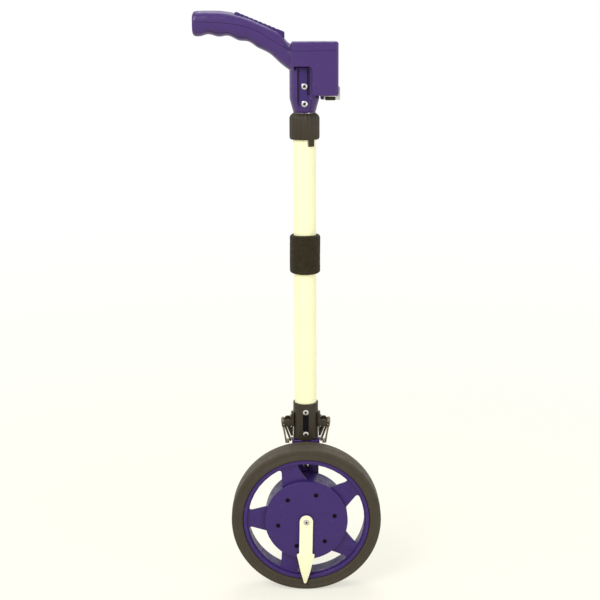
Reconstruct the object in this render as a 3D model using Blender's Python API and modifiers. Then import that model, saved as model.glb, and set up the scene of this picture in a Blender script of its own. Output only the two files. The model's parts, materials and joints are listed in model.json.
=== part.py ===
"""A compact telescopic measuring wheel: metres, +Z up, origin on the ground under the axle.

+X is the way the wheel rolls, and the grip points back along -X. The wheel's tyre is centred on
the plane y = 0, its pointer faces -Y, and the leg, the pole and the head stand behind it.
"""
import math

import bmesh
import bpy
import numpy as np
from mathutils import Matrix, Vector

# Clearances shared by all pieces
GAP = 0.0003
SEAT = 0.0001
OVERRUN = 0.004
BITE = 0.001
FINE_MERGE = 0.00001

# Round work: sides of the large, middle and small round pieces
WHEEL_SIDES = 48
HUB_SIDES = 36
TUBE_SIDES = 24
SMALL_SIDES = 12
TINY_SIDES = 8
DRUM_SIDES = 20
HEX_SIDES = 6
LEG_ROUND_STEPS = 20
POINTER_ROUND_STEPS = 10
SMALL_ROUND_STEPS = 6
SMOOTH_ANGLE = math.radians(35)
EDGE_ANGLE = math.radians(30)

# Wheel
WHEEL_CIRCUMFERENCE = 0.5
TYRE_WIDTH = 0.028
TYRE_DEPTH = 0.0122
TYRE_SHOULDER = 0.0022
TYRE_BEAD = 0.003
RIM_WIDTH = 0.0246
RIM_DEPTH = 0.0042
RIM_CHAMFER = 0.0006
SPOKE_FRONT = -0.0095
SPOKE_THICKNESS = 0.0045
SPOKE_COUNT = 5
SPOKE_PHASE = math.radians(35.3)
WINDOW_HALF_ANGLE_OUTER = math.radians(28.4)
WINDOW_HALF_ANGLE_INNER = math.radians(17)
WINDOW_RIM_WEB = 0.0012
WINDOW_CORNER = 0.004
HUB_RADIUS = 0.0439
HUB_WALL = 0.0024
HUB_WALL_FRONT = -0.0112
HUB_WALL_BACK = 0.012
COVER_THICKNESS = 0.0026
COVER_EDGE = 0.0008
BACK_DRUM_RADIUS = 0.0433
BACK_DRUM_DEPTH = 0.0067
BACK_PLATE = 0.0024
SLEEVE_RADIUS = 0.012
SLEEVE_BORE = 0.0083
SLEEVE_FRONT = -0.0085
HUB_SCREW_COUNT = 6
HUB_SCREW_PHASE = math.radians(10)
HUB_SCREW_CIRCLE = 0.0304
HUB_SCREW_RECESS = 0.0023
HUB_SCREW_RECESS_DEPTH = 0.0014
HUB_SCREW_HEAD_HEIGHT = 0.0008
HUB_SCREW_SHANK = 0.0013
HUB_SCREW_LENGTH = 0.0068
HUB_BOSS_RADIUS = 0.0036

# Axle and pointer
AXLE_RADIUS = 0.003
AXLE_FRONT = -0.0152
POINTER_THICKNESS = 0.002
POINTER_HALF_WIDTH = 0.007
POINTER_SHOULDER_DROP = 0.037
POINTER_SHOULDER_HALF_WIDTH = 0.0093
POINTER_SHOULDER_STEP = 0.0015
POINTER_LENGTH = 0.0708
POINTER_TIP_HALF_WIDTH = 0.0008
POINTER_WAIST_SHARE = 0.62
POINTER_WAIST_WIDTH_SHARE = 0.52
POINTER_LEAN = math.radians(1.2)
POINTER_SCREW_HEAD = 0.003
POINTER_SCREW_HEAD_HEIGHT = 0.0014
POINTER_SCREW_SHANK = 0.0015
SCREW_HEAD_SHARES = ((0, 1), (0.75, 0.9), (1, 0.45), (1, 0))
BEND_SHARES = (0, 1 / 3, 2 / 3, 1)
POINTER_SCREW_LENGTH = 0.009
AXLE_NUT_RADIUS = 0.0075
AXLE_NUT_HEIGHT = 0.004
AXLE_TAIL = 0.001

# Leg
POLE_Y = 0.031
LEG_HALF_WIDTH = 0.0136
LEG_HALF_DEPTH = 0.0115
LEG_TOP = 0.1577
LEG_EDGE = 0.0012
GEARBOX_RADIUS = 0.020
GEARBOX_CAVITY = 0.015
LEG_FRONT_WALL = 0.0016
LEG_FRONT_OPENING = 0.0096
GEARBOX_COVER_THICKNESS = 0.002
SPIGOT_RADIUS = 0.0093
SPIGOT_DEPTH = 0.012
SHAFT_BORE = 0.006
LEG_GROOVE_HALF_WIDTH = 0.0036
LEG_GROOVE_DEPTH = 0.002
LEG_GROOVE_TOP = 0.150
LEG_GROOVE_BOTTOM = 0.100
LEG_SCREW_Z = 0.1287
SHAFT_BUSH_LENGTH = 0.010

# Screws with a round head: those of the leg, the socket and the neck
SCREW_HEAD = 0.003
SCREW_HEAD_HEIGHT = 0.0016
SCREW_SHANK = 0.0015

# Pole socket and latches
SOCKET_RADIUS = 0.01335
SOCKET_BOTTOM = 0.158
SOCKET_FLOOR = 0.006
SOCKET_EDGE = 0.0005
SOCKET_SCREW_ZS = (0.1653, 0.1898)
SOCKET_RIM = 0.0085
SOCKET_SCREW_DEPTH = 0.0028
SOCKET_GROOVE_HALF_WIDTH = 0.0033
SOCKET_GROOVE_DEPTH = 0.0006
LATCH_PAD_HALF_DEPTH = 0.0077
LATCH_PAD_REACH = 0.0136
LATCH_PAD_HEIGHT = 0.0155
LATCH_PLATE_Z = 0.1728
LATCH_PLATE_THICKNESS = 0.002
LATCH_PLATE_HALF_DEPTH = 0.0075
LATCH_PLATE_HEIGHT = 0.0125
LATCH_EAR_THICKNESS = 0.0015
LATCH_EAR_HEIGHT = 0.005
LATCH_PIVOT_X = 0.0236
LATCH_PIVOT_Z = 0.174
LATCH_EAR_MARGIN = 0.0023
LATCH_PIN_RADIUS = 0.001
LATCH_HEAD_RADIUS = 0.0024
LATCH_BRACE_DROP = 0.0115
LATCH_BRACE_BAR = 0.0015
LATCH_BRACE_THICKNESS = 0.0012
LATCH_TOGGLE = 0.0032
LATCH_EYE_RADIUS = 0.0019
LATCH_CHEEK = 0.0008
LATCH_BLADE_THICKNESS = 0.0013
LATCH_BLADE_LENGTH = 0.0212
LATCH_BLADE_LEAN = 0.004
LATCH_BLADE_BOW = 0.0004
BLADE_SHARES = (0.2, 0.4, 0.6, 0.8, 1)
LATCH_HEAD_END = math.radians(280)
LATCH_FOOT = 0.0042
LATCH_WIRE = 0.0007
LATCH_WIRE_BEND = 0.0012
LATCH_BAR_Z = 0.1542
CATCH_THICKNESS = 0.0012
CATCH_BOTTOM = 0.148
CATCH_LEDGE = 0.0016
CATCH_LIP = 0.0008
CATCH_LIP_THICKNESS = 0.0009
RIVET_HEAD = 0.0021
RIVET_HEAD_HEIGHT = 0.0013
RIVET_SHANK = 0.0012
RIVET_DEPTH = 0.003
RIVET_Z = 0.1815

# Telescope
OUTER_TUBE_RADIUS = 0.0117
TUBE_WALL = 0.0012
OUTER_TUBE_TOP = 0.493
INNER_TUBE_LIFT = 0.026
INNER_TUBE_TOP = 0.541
COLLAR_RADIUS = 0.016
COLLAR_BOTTOM = 0.3390
COLLAR_TOP = 0.3800
COLLAR_EDGE = 0.0022
COLLAR_EDGE_STEPS = 2
COLLET_BOTTOM = 0.479
COLLET_TOP = 0.499
COLLET_WALL = 0.0012
COLLET_TAB_ANGLE = math.radians(-57)
COLLET_TAB_WIDTH = 0.007
COLLET_TAB_DROP = 0.0075
NUT_RADIUS = 0.0154
NUT_BOTTOM = 0.4784
NUT_TOP = 0.505
NUT_ROOF = 0.004
NUT_CHAMFER = 0.0026
NUT_FLUTES = 22
NUT_FLUTE_SHARE = 0.962
NUT_CHAMFER_SHARE = 0.95
NUT_OUTLINE_SHARES = ((0, 1), (0.5, 1), (0.75, NUT_FLUTE_SHARE))

# Drive: bevel gears, shaft, square tube and square rod
BEVEL_TEETH = 12
BEVEL_DISTANCE = 0.008
BEVEL_FACE = 0.003
BEVEL_HUB = 0.0062
BEVEL_HUB_LENGTH = 0.004
TOOTH_TIP_SHARE = 0.72
TOOTH_ROOT_SHARE = 1.05
TOOTH_TIP_WIDTH_SHARE = 0.20
TOOTH_ROOT_WIDTH_SHARE = 0.50
HUB_GEAR_SPIGOT_LENGTH = 0.004
SHAFT_RADIUS = 0.003
SHAFT_TOP = 0.163
SHAFT_SQUARE = 0.0044
SHAFT_SQUARE_LENGTH = 0.009
DRIVE_TUBE_WIDTH = 0.007
DRIVE_TUBE_TOP = 0.462
ROD_BOTTOM = 0.186
ROD_ROUND_RADIUS = 0.0025

# Head: box, neck and counter
BOX_BACK = -0.0133
BOX_FRONT = 0.034
BOX_HALF_DEPTH = 0.022
BOX_BOTTOM = 0.523
BOX_TOP = 0.576
BOX_WALL = 0.002
BOX_EDGE = 0.0022
BOX_EDGE_SEGMENTS = 2
LID_LINE = 0.567
STEP_X = 0.0078
STEP_Z = 0.5515
NECK_RADIUS = 0.0151
NECK_END_RADIUS = 0.0113
NECK_BOTTOM = 0.506
NECK_TAPER_TOP = 0.519
NECK_SCREW_ZS = (0.5147, 0.532)
NECK_GROOVE_LEFT = -0.0064
NECK_GROOVE_RIGHT = 0.0052
NECK_GROOVE_FLOOR = 0.0133
NECK_GROOVE_BOTTOM = 0.508
GEAR_BORE = 0.010
UPPER_BUSH_LENGTH = 0.0035

COUNTER_Z = 0.5637
DRUM_AXLE_X = 0.0136
PINION_TEETH = 10
COUNTER_GEAR_TEETH = 20
COUNTER_GEAR_FACE = 0.003
CROSS_AXLE_RADIUS = 0.0015
DRUM_COUNT = 5
DRUM_RADIUS = 0.0088
DRUM_WIDTH = 0.0042
DRUM_GAP = 0.0003
FRAME_THICKNESS = 0.0012
FRAME_FRONT = 0.0116
FRAME_BASE_Z = 0.545
FRAME_TOP = 0.569
FRAME_BACK_X = -0.005
WINDOW_MARGIN = 0.0015
WINDOW_THICKNESS = 0.001
WINDOW_HALF_X = 0.007

# Grip
GRIP_REACH = 0.0985
GRIP_RISE = 0.059
GRIP_LOW = 0.5477
GRIP_HALF_WIDTH = 0.014
GRIP_ROOT_HALF_WIDTH = 0.0165
GRIP_ROOT_SHARE = 0.18
GRIP_WALL = 0.0024
GRIP_SQUARENESS = 2.7
GRIP_STATIONS = 20
GRIP_SECTION_STEPS = 16
GRIP_ROOT_OVERLAP = 0.0012
FINGER_PITCH = 0.0203
FINGER_DEPTH = 0.0021
FINGER_COUNT = 3
FINGER_START_SHARE = 0.941
GRIP_TOP_SHARES = ((-0.05, 0.40), (0, 0.44), (0.058, 0.499), (0.109, 0.537), (0.209, 0.654), (0.311, 0.754),
                   (0.411, 0.837), (0.513, 0.913), (0.613, 0.966), (0.714, 0.993), (0.815, 1), (0.917, 0.998),
                   (0.967, 0.992), (0.99, 0.97), (1, 0.935))
GRIP_LINE_SHARES = ((-0.05, 0.327), (0, 0.327), (0.026, 0.348), (0.207, 0.523), (0.341, 0.655),
                    (0.501, 0.747), (0.667, 0.788), (0.82, 0.803), (1, 0.815))
GRIP_BOTTOM_SHARES = ((-0.05, -0.05), (0, -0.018), (0.018, 0), (0.11, 0.119), (0.211, 0.272),
                      (0.312, 0.358), (0.515, 0.494), (0.718, 0.562), (0.941, 0.569), (0.974, 0.572),
                      (0.99, 0.585), (1, 0.612))
GRIP_LINE_STATION_SHARES = (1.1, 1, 0.9, 0.8, 0.7, 0.6, 0.5, 0.42, 0.34, 0.27, 0.2, 0.14, 0.08, 0.03, 0)
GRIP_WIDTH_SHARES = ((-0.05, 1), (0.955, 1), (0.985, 0.96), (1, 0.86))
SHELL_SCREW_SHARES = (0.332, 0.943)
SHELL_SCREW_HEAD = 0.0025
SHELL_SCREW_HEAD_HEIGHT = 0.0018
SHELL_SCREW_SHANK = 0.0013
SHELL_SCREW_BITE = 0.0015
SHELL_SCREW_SINK = 0.003
SHELL_BOSS_RADIUS = 0.0042

# Thumb lever
THUMB_BACK = -0.0687
THUMB_FRONT = -0.0205
THUMB_PROUD = 0.0024
THUMB_SLOPE = math.radians(22.4)
THUMB_HALF_WIDTH = 0.008
THUMB_THICKNESS = 0.0046
THUMB_LUG_LENGTH = 0.0055
THUMB_LUG_HEIGHT = 0.0092
THUMB_PIN_INSET = 0.0026
THUMB_PIN_RADIUS = 0.001
THUMB_PIN_HALF_LENGTH = 0.0108
THUMB_PIN_RISE = 0.0022
THUMB_RIB_PITCH = 0.0048
THUMB_RIB_COUNT = 9
THUMB_RIB_DEPTH = 0.0005
THUMB_RIB_START = 0.0048
THUMB_GROOVE_SHARE = 0.42
THUMB_TRAVEL = 0.0034
THUMB_BLOCK_MARGIN = 0.0035
THUMB_EDGE = 0.0012

# Reset lever
RESET_PIVOT_X = 0.018
RESET_PIVOT_Z = 0.5204
RESET_BARREL = 0.0021
RESET_PIN_RADIUS = 0.001
RESET_HALF_DEPTH = 0.0065
RESET_SHEET = 0.0012
RESET_TAB_TOP = 0.531
RESET_EAR_THICKNESS = 0.0022
RESET_EAR_RADIUS = 0.0026
RESET_PAD_BACK = 0.0209
RESET_PAD_LENGTH = 0.0106
RESET_PAD_HALF_DEPTH = 0.0074
RESET_PAD_BOTTOM = 0.5177
RESET_PAD_EDGE = 0.0008

# Sizes that follow from those above
WHEEL_RADIUS = WHEEL_CIRCUMFERENCE / math.tau
AXLE_Z = WHEEL_RADIUS
TYRE_INNER = WHEEL_RADIUS - TYRE_DEPTH
RIM_OUTER = TYRE_INNER - GAP
RIM_INNER = RIM_OUTER - RIM_DEPTH
COVER_BACK = HUB_WALL_FRONT - GAP
COVER_FRONT = COVER_BACK - COVER_THICKNESS
BACK_DRUM_FRONT = HUB_WALL_BACK + GAP
BACK_DRUM_BACK = BACK_DRUM_FRONT + BACK_DRUM_DEPTH
LEG_FRONT = POLE_Y - LEG_HALF_DEPTH
LEG_BACK = POLE_Y + LEG_HALF_DEPTH
BUSH_BORE = AXLE_RADIUS + GAP
SOCKET_BORE = OUTER_TUBE_RADIUS + GAP
INNER_TUBE_RADIUS = OUTER_TUBE_RADIUS - TUBE_WALL - GAP
TUBE_PASSAGE = INNER_TUBE_RADIUS + GAP
LATCH_BAR_X = LEG_HALF_WIDTH + CATCH_THICKNESS + LATCH_WIRE + GAP * 3
SOCKET_TOP = SOCKET_SCREW_ZS[1] + SOCKET_RIM
INNER_TUBE_BOTTOM = SOCKET_BOTTOM + SOCKET_FLOOR + INNER_TUBE_LIFT
COUNTER_MODULE = DRUM_AXLE_X * 2 / (PINION_TEETH + COUNTER_GEAR_TEETH)
COUNTER_GEAR_Y = POLE_Y + BEVEL_DISTANCE + BEVEL_HUB_LENGTH / 2 + GAP * 3
FRAME_BACK_Y = COUNTER_GEAR_Y + COUNTER_GEAR_FACE + GAP * 3
RESET_REACH = BOX_FRONT + GAP * 3

# Colours
PURPLE = (0.072, 0.034, 0.170)
PURPLE_GRIP = (0.098, 0.054, 0.205)
BLACK = (0.030, 0.026, 0.018)
TYRE_GREY = (0.045, 0.038, 0.028)
FOAM = (0.022, 0.018, 0.010)
CREAM = (0.86, 0.86, 0.66)
SILVER = (0.80, 0.79, 0.74)
STEEL = (0.55, 0.55, 0.56)
TAN = (0.50, 0.42, 0.24)
BRASS = (0.62, 0.47, 0.20)
WHITE = (0.85, 0.85, 0.83)
CLEAR = (0.85, 0.88, 0.90)
RED = (0.55, 0.03, 0.02)

# Roughness of the finishes
GLASSY = 0.05
GLOSSY = 0.3
SATIN = 0.4
DULL = 0.8
SOFT = 0.95

for old in list(bpy.data.objects):
    bpy.data.objects.remove(old)

parts = bpy.data.collections.new("measuring_wheel")
cutters = bpy.data.collections.new("cutters")
for collection in (parts, cutters):
    bpy.context.scene.collection.children.link(collection)


# Helpers

def material(name, colour, roughness, metallic=0.0):
    found = bpy.data.materials.get(name)
    if found:
        return found
    made = bpy.data.materials.new(name)
    made.use_nodes = True
    shader = made.node_tree.nodes["Principled BSDF"]
    shader.inputs["Base Color"].default_value = (*colour, 1)
    shader.inputs["Roughness"].default_value = roughness
    shader.inputs["Metallic"].default_value = metallic
    return made


def axis_empty(name, place, parent=None):
    empty = bpy.data.objects.new(name, None)
    parts.objects.link(empty)
    empty.location = place
    if parent:
        empty.parent = parent
        empty.location = Vector(place) - world_place(parent)
    return empty


def world_place(empty):
    place = Vector(empty.location)
    while empty.parent:
        empty = empty.parent
        place += Vector(empty.location)
    return place


def add_object(name, bm, place=(0, 0, 0), turn=None, finish=None, parent=None, collection=None, smooth=True):
    """Make an object of a bmesh, placed in the world and, when it moves, hung on its axis empty."""
    bmesh.ops.recalc_face_normals(bm, faces=bm.faces)
    mesh = bpy.data.meshes.new(name)
    bm.to_mesh(mesh)
    bm.free()
    if smooth:
        mesh.shade_smooth()
        mesh.set_sharp_from_angle(angle=SMOOTH_ANGLE)
    made = bpy.data.objects.new(name, mesh)
    (collection or parts).objects.link(made)
    made.location = place
    if turn:
        made.rotation_euler = turn
    if finish:
        mesh.materials.append(finish)
    if parent:
        made.parent = parent
        made.location = Vector(place) - world_place(parent)
    return made


def as_cutter(made):
    made.hide_render = True
    made.display_type = "WIRE"
    return made


def block(low, high):
    bm = bmesh.new()
    size = [end - start for start, end in zip(low, high)]
    middle = [(start + end) / 2 for start, end in zip(low, high)]
    bmesh.ops.create_cube(bm, size=1, matrix=Matrix.Translation(middle) @ Matrix.Diagonal((*size, 1)))
    return bm


def rod(radius, start, end, sides=SMALL_SIDES, axis="Z", across=(0, 0), end_radius=None):
    """A cylinder or cone from start to end along an axis, at a place across it."""
    turns = {"Z": Matrix.Identity(4), "Y": Matrix.Rotation(math.radians(-90), 4, "X"),
             "X": Matrix.Rotation(math.radians(90), 4, "Y")}
    middle = (start + end) / 2
    places = {"Z": (across[0], across[1], middle), "Y": (across[0], middle, across[1]),
              "X": (middle, across[0], across[1])}
    bm = bmesh.new()
    top = radius if end_radius is None else end_radius
    spin = Matrix.Rotation(math.pi / sides, 4, "Z")
    bmesh.ops.create_cone(bm, cap_ends=True, segments=sides, radius1=radius, radius2=top, depth=end - start,
                          matrix=Matrix.Translation(places[axis]) @ turns[axis] @ spin)
    return bm


def together(*pieces):
    """Several closed bodies in one bmesh, for cutters."""
    whole = bmesh.new()
    for piece in pieces:
        mesh = bpy.data.meshes.new("piece")
        bmesh.ops.recalc_face_normals(piece, faces=piece.faces)
        piece.to_mesh(mesh)
        piece.free()
        whole.from_mesh(mesh)
        bpy.data.meshes.remove(mesh)
    return whole


def turned(name, profile, sides, finish, place=(0, 0, 0), axis="Z", parent=None, collection=None,
           spin_angle=0.0):
    """A profile of (radius, height), outer side from top to bottom, turned once round the axis."""
    closed = min(radius for radius, height in profile) > 0
    bm = bmesh.new()
    points = [bm.verts.new((radius, 0, height)) for radius, height in profile]
    for first, second in zip(points, points[1:]):
        bm.edges.new((first, second))
    if closed:
        bm.edges.new((points[-1], points[0]))
    mesh = bpy.data.meshes.new(name)
    bm.to_mesh(mesh)
    bm.free()
    made = bpy.data.objects.new(name, mesh)
    (collection or parts).objects.link(made)
    made.location = place
    if axis == "Y":
        made.rotation_euler = (math.radians(-90), spin_angle, 0)
    if finish:
        mesh.materials.append(finish)
    spin = made.modifiers.new("turn", "SCREW")
    spin.axis = "Z"
    spin.steps = sides
    spin.render_steps = sides
    spin.use_merge_vertices = True
    spin.merge_threshold = FINE_MERGE
    spin.use_smooth_shade = True
    if parent:
        made.parent = parent
        made.location = Vector(place) - world_place(parent)
    return made


def ring_profile(inner, outer, bottom, top):
    return [(outer, top), (outer, bottom), (inner, bottom), (inner, top)]


def flat_loops(loops, half):
    """A bmesh of flat closed loops in XY, filled with their holes left open, half thick each way."""
    curve = bpy.data.curves.new("outline", "CURVE")
    curve.dimensions = "2D"
    curve.fill_mode = "BOTH"
    curve.extrude = half
    for loop in loops:
        spline = curve.splines.new("POLY")
        spline.points.add(len(loop) - 1)
        for point, (x, y) in zip(spline.points, loop):
            point.co = (x, y, 0, 1)
        spline.use_cyclic_u = True
    holder = bpy.data.objects.new("outline", curve)
    bpy.context.scene.collection.objects.link(holder)
    bpy.context.view_layer.update()
    mesh = bpy.data.meshes.new_from_object(holder.evaluated_get(bpy.context.evaluated_depsgraph_get()))
    bpy.data.objects.remove(holder)
    bpy.data.curves.remove(curve)
    bm = bmesh.new()
    bm.from_mesh(mesh)
    bpy.data.meshes.remove(mesh)
    bmesh.ops.remove_doubles(bm, verts=bm.verts, dist=FINE_MERGE)
    return bm


def side_outline(loops, middle, half):
    """Loops of (x, z) seen from the front, as thick as twice half about the plane y = middle."""
    bm = flat_loops(loops, half)
    upright = Matrix.Translation((0, middle, 0)) @ Matrix.Rotation(math.radians(90), 4, "X")
    bmesh.ops.transform(bm, matrix=upright, verts=bm.verts)
    return bm


def loft(rings):
    """A closed body through rings of equally many points."""
    bm = bmesh.new()
    rows = [[bm.verts.new(point) for point in ring] for ring in rings]
    count = len(rows[0])
    for row, after in zip(rows, rows[1:]):
        for i in range(count):
            j = (i + 1) % count
            bm.faces.new((row[i], row[j], after[j], after[i]))
    bm.faces.new(rows[0])
    bm.faces.new(rows[-1])
    return bm


def cut(target, tool, operation="DIFFERENCE"):
    step = target.modifiers.new(operation.lower(), "BOOLEAN")
    step.operation = operation
    step.solver = "EXACT"
    step.object = tool
    return step


def cut_with(target, name, bm, operation="DIFFERENCE"):
    tool = as_cutter(add_object(name, bm, collection=cutters, smooth=False))
    cut(target, tool, operation)
    return tool


def round_edges(target, width, segments=1):
    bevel = target.modifiers.new("edges", "BEVEL")
    bevel.width = width
    bevel.segments = segments
    bevel.limit_method = "ANGLE"
    bevel.angle_limit = EDGE_ANGLE
    return bevel


def smooth_through(table, share):
    """The value at a share of a table of (share, value) points, eased through them."""
    xs = [row[0] for row in table]
    ys = [row[1] for row in table]
    share = min(max(share, xs[0]), xs[-1])
    k = min(max(int(np.searchsorted(xs, share)) - 1, 0), len(xs) - 2)
    slopes = np.gradient(ys, xs)
    width = xs[k + 1] - xs[k]
    t = (share - xs[k]) / width
    blend = t * t * (3 - 2 * t)
    ease_in = t * (1 - t) ** 2 * width
    ease_out = t * t * (1 - t) * width
    return ys[k] * (1 - blend) + ys[k + 1] * blend + slopes[k] * ease_in - slopes[k + 1] * ease_out


def arc(centre, radius, start, end, steps):
    return [(centre[0] + radius * math.cos(start + (end - start) * i / steps),
             centre[1] + radius * math.sin(start + (end - start) * i / steps)) for i in range(steps + 1)]


def round_screw(name, head, head_height, shank, length, seat, direction, finish, parent=None):
    """A screw whose head sits on the seat and whose shank goes from there along the direction."""
    profile = [(head * across, head_height * up) for across, up in SCREW_HEAD_SHARES]
    profile += [(shank, 0), (shank, -length), (0, -length)]
    made = turned(name, profile, TINY_SIDES, finish, place=seat, parent=parent)
    made.rotation_euler = Vector(direction).to_track_quat("-Z", "Y").to_euler()
    return made


def tooth_outline(teeth, pitch_radius, tooth_at):
    """Straight-sided teeth, one of them centred on the angle tooth_at."""
    module = pitch_radius * 2 / teeth
    tip = pitch_radius + module * TOOTH_TIP_SHARE
    root = pitch_radius - module * TOOTH_ROOT_SHARE
    pitch = math.tau / teeth
    points = []
    for k in range(teeth):
        centre = tooth_at + pitch * k
        for radius, share in ((root, -TOOTH_ROOT_WIDTH_SHARE), (tip, -TOOTH_TIP_WIDTH_SHARE),
                              (tip, TOOTH_TIP_WIDTH_SHARE), (root, TOOTH_ROOT_WIDTH_SHARE)):
            angle = centre + pitch * share / 2
            points.append((radius * math.cos(angle), radius * math.sin(angle)))
    return points


def bevel_gear(name, bore, tooth_at, place, turn, finish, parent, steps):
    """Bevel gear with its large end at z = 0 and its small end towards +Z, on round steps behind it."""
    outline = tooth_outline(BEVEL_TEETH, BEVEL_DISTANCE, tooth_at)
    share = (BEVEL_DISTANCE - BEVEL_FACE) / BEVEL_DISTANCE
    bm = loft([[(x, y, 0) for x, y in outline], [(x * share, y * share, BEVEL_FACE) for x, y in outline]])
    made = add_object(name, bm, place, turn, finish, parent)
    for k, (radius, bottom, top) in enumerate(steps):
        step = add_object(f"{name}_step_{k + 1}", rod(radius, bottom, top), place, turn, collection=cutters,
                          smooth=False)
        cut(made, as_cutter(step), "UNION")
    if bore:
        lowest = min(bottom for radius, bottom, top in steps)
        hole = rod(bore, lowest - OVERRUN, BEVEL_FACE + OVERRUN)
        cut(made, as_cutter(add_object(name + "_bore", hole, place, turn, collection=cutters, smooth=False)))
    return made


def tube(name, inner, outer, bottom, top, finish, sides=TUBE_SIDES, across=(0, POLE_Y), parent=None):
    return turned(name, ring_profile(inner, outer, bottom, top), sides, finish, place=(*across, 0),
                  parent=parent)


def bent(points, corner):
    """The points of a path whose inner corners are rounded, each cut back by the corner's size."""
    path = [points[0]]
    for before, here, after in zip(points, points[1:], points[2:]):
        first = (before - here).normalized() * corner
        last = (after - here).normalized() * corner
        path += [here + first * (1 - t) ** 2 + last * t ** 2 for t in BEND_SHARES]
    return path + [points[-1]]


def wire(name, points, radius, finish, parent=None):
    """Round wire through the points, with flat ends."""
    curve = bpy.data.curves.new(name, "CURVE")
    curve.dimensions = "3D"
    curve.bevel_depth = radius
    curve.bevel_resolution = 1
    curve.use_fill_caps = True
    spline = curve.splines.new("POLY")
    spline.points.add(len(points) - 1)
    for point, place in zip(spline.points, points):
        point.co = (*place, 1)
    curve.materials.append(finish)
    made = bpy.data.objects.new(name, curve)
    parts.objects.link(made)
    if parent:
        made.parent = parent
        made.location = -world_place(parent)
    return made


purple = material("purple_plastic", PURPLE, GLOSSY)
purple_grip = material("purple_grip_plastic", PURPLE_GRIP, GLOSSY)
black = material("black_plastic", BLACK, SATIN)
rubber = material("tyre_rubber", TYRE_GREY, DULL)
foam = material("foam", FOAM, SOFT)
cream = material("cream_pointer", CREAM, SATIN)
aluminium = material("aluminium", SILVER, GLOSSY, 1.0)
steel = material("steel", STEEL, GLOSSY, 1.0)
zinc = material("yellow_zinc", TAN, SATIN, 1.0)
brass = material("brass", BRASS, SATIN, 1.0)
white = material("white_plastic", WHITE, SATIN)
red = material("red_plastic", RED, SATIN)
clear = material("clear_plastic", CLEAR, GLASSY)

# Joint axes

wheel_axis = axis_empty("wheel_axis", (0, 0, AXLE_Z))
pointer_axis = axis_empty("pointer_axis", (0, AXLE_FRONT, AXLE_Z))
shaft_axis = axis_empty("shaft_axis", (0, POLE_Y, AXLE_Z))
nut_axis = axis_empty("nut_axis", (0, POLE_Y, NUT_BOTTOM))
head_slide = axis_empty("head_slide", (0, POLE_Y, INNER_TUBE_BOTTOM))
rod_axis = axis_empty("rod_axis", (0, POLE_Y, ROD_BOTTOM), head_slide)
cross_axis = axis_empty("cross_axis", (0, POLE_Y, COUNTER_Z), head_slide)
drum_axis = axis_empty("drum_axis", (DRUM_AXLE_X, POLE_Y, COUNTER_Z), head_slide)

# Wheel: every round of it has the same flats, one of them square to the ground

flat_share = 1 / math.cos(math.pi / WHEEL_SIDES)
wheel_spin_angle = math.pi / WHEEL_SIDES
tyre_half = TYRE_WIDTH / 2
rim_half = RIM_WIDTH / 2


def wheel_profile(points):
    return [(radius * flat_share, y) for radius, y in points]


turned("tyre", wheel_profile([
    (TYRE_INNER, tyre_half), (WHEEL_RADIUS - TYRE_BEAD - TYRE_SHOULDER, tyre_half),
    (WHEEL_RADIUS - TYRE_SHOULDER / 2, tyre_half - TYRE_SHOULDER / 2),
    (WHEEL_RADIUS, tyre_half - TYRE_SHOULDER * 2), (WHEEL_RADIUS, TYRE_SHOULDER * 2 - tyre_half),
    (WHEEL_RADIUS - TYRE_SHOULDER / 2, TYRE_SHOULDER / 2 - tyre_half),
    (WHEEL_RADIUS - TYRE_BEAD - TYRE_SHOULDER, -tyre_half), (TYRE_INNER, -tyre_half)]),
    WHEEL_SIDES, rubber, (0, 0, AXLE_Z), "Y", wheel_axis, spin_angle=wheel_spin_angle)

wheel_body = turned("wheel_body", wheel_profile([
    (RIM_OUTER - RIM_CHAMFER, rim_half), (RIM_OUTER, rim_half - RIM_CHAMFER),
    (RIM_OUTER, RIM_CHAMFER - rim_half), (RIM_OUTER - RIM_CHAMFER, -rim_half),
    (RIM_INNER, -rim_half), (RIM_INNER, rim_half)]),
    WHEEL_SIDES, purple, (0, 0, AXLE_Z), "Y", wheel_axis, spin_angle=wheel_spin_angle)


def polar(radius, angle):
    return (radius * math.cos(angle), radius * math.sin(angle))


def window_outline(middle):
    """One window between two spokes: rounded at the rim, and running into the hub's wall."""
    outer = RIM_INNER - WINDOW_RIM_WEB
    inner = HUB_RADIUS - HUB_WALL / 2
    inset = WINDOW_CORNER / outer
    points = []
    for side in (-1, 1):
        edge = middle + side * WINDOW_HALF_ANGLE_OUTER
        corner = Vector(polar(outer, edge))
        on_arc = Vector(polar(outer, edge - side * inset))
        towards_hub = Vector(polar(inner, middle + side * WINDOW_HALF_ANGLE_INNER)) - corner
        on_side = corner + towards_hub.normalized() * WINDOW_CORNER
        bend = [on_arc * (1 - t) ** 2 + corner * 2 * t * (1 - t) + on_side * t ** 2 for t in BEND_SHARES]
        points.append([tuple(point) for point in bend])
    rim_arc = arc((0, 0), outer, middle - WINDOW_HALF_ANGLE_OUTER + inset,
                  middle + WINDOW_HALF_ANGLE_OUTER - inset, SMALL_ROUND_STEPS)
    hub_arc = arc((0, 0), inner, middle + WINDOW_HALF_ANGLE_INNER, middle - WINDOW_HALF_ANGLE_INNER,
                  SMALL_ROUND_STEPS)
    return points[0][::-1] + rim_arc[1:-1] + points[1] + hub_arc


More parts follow.
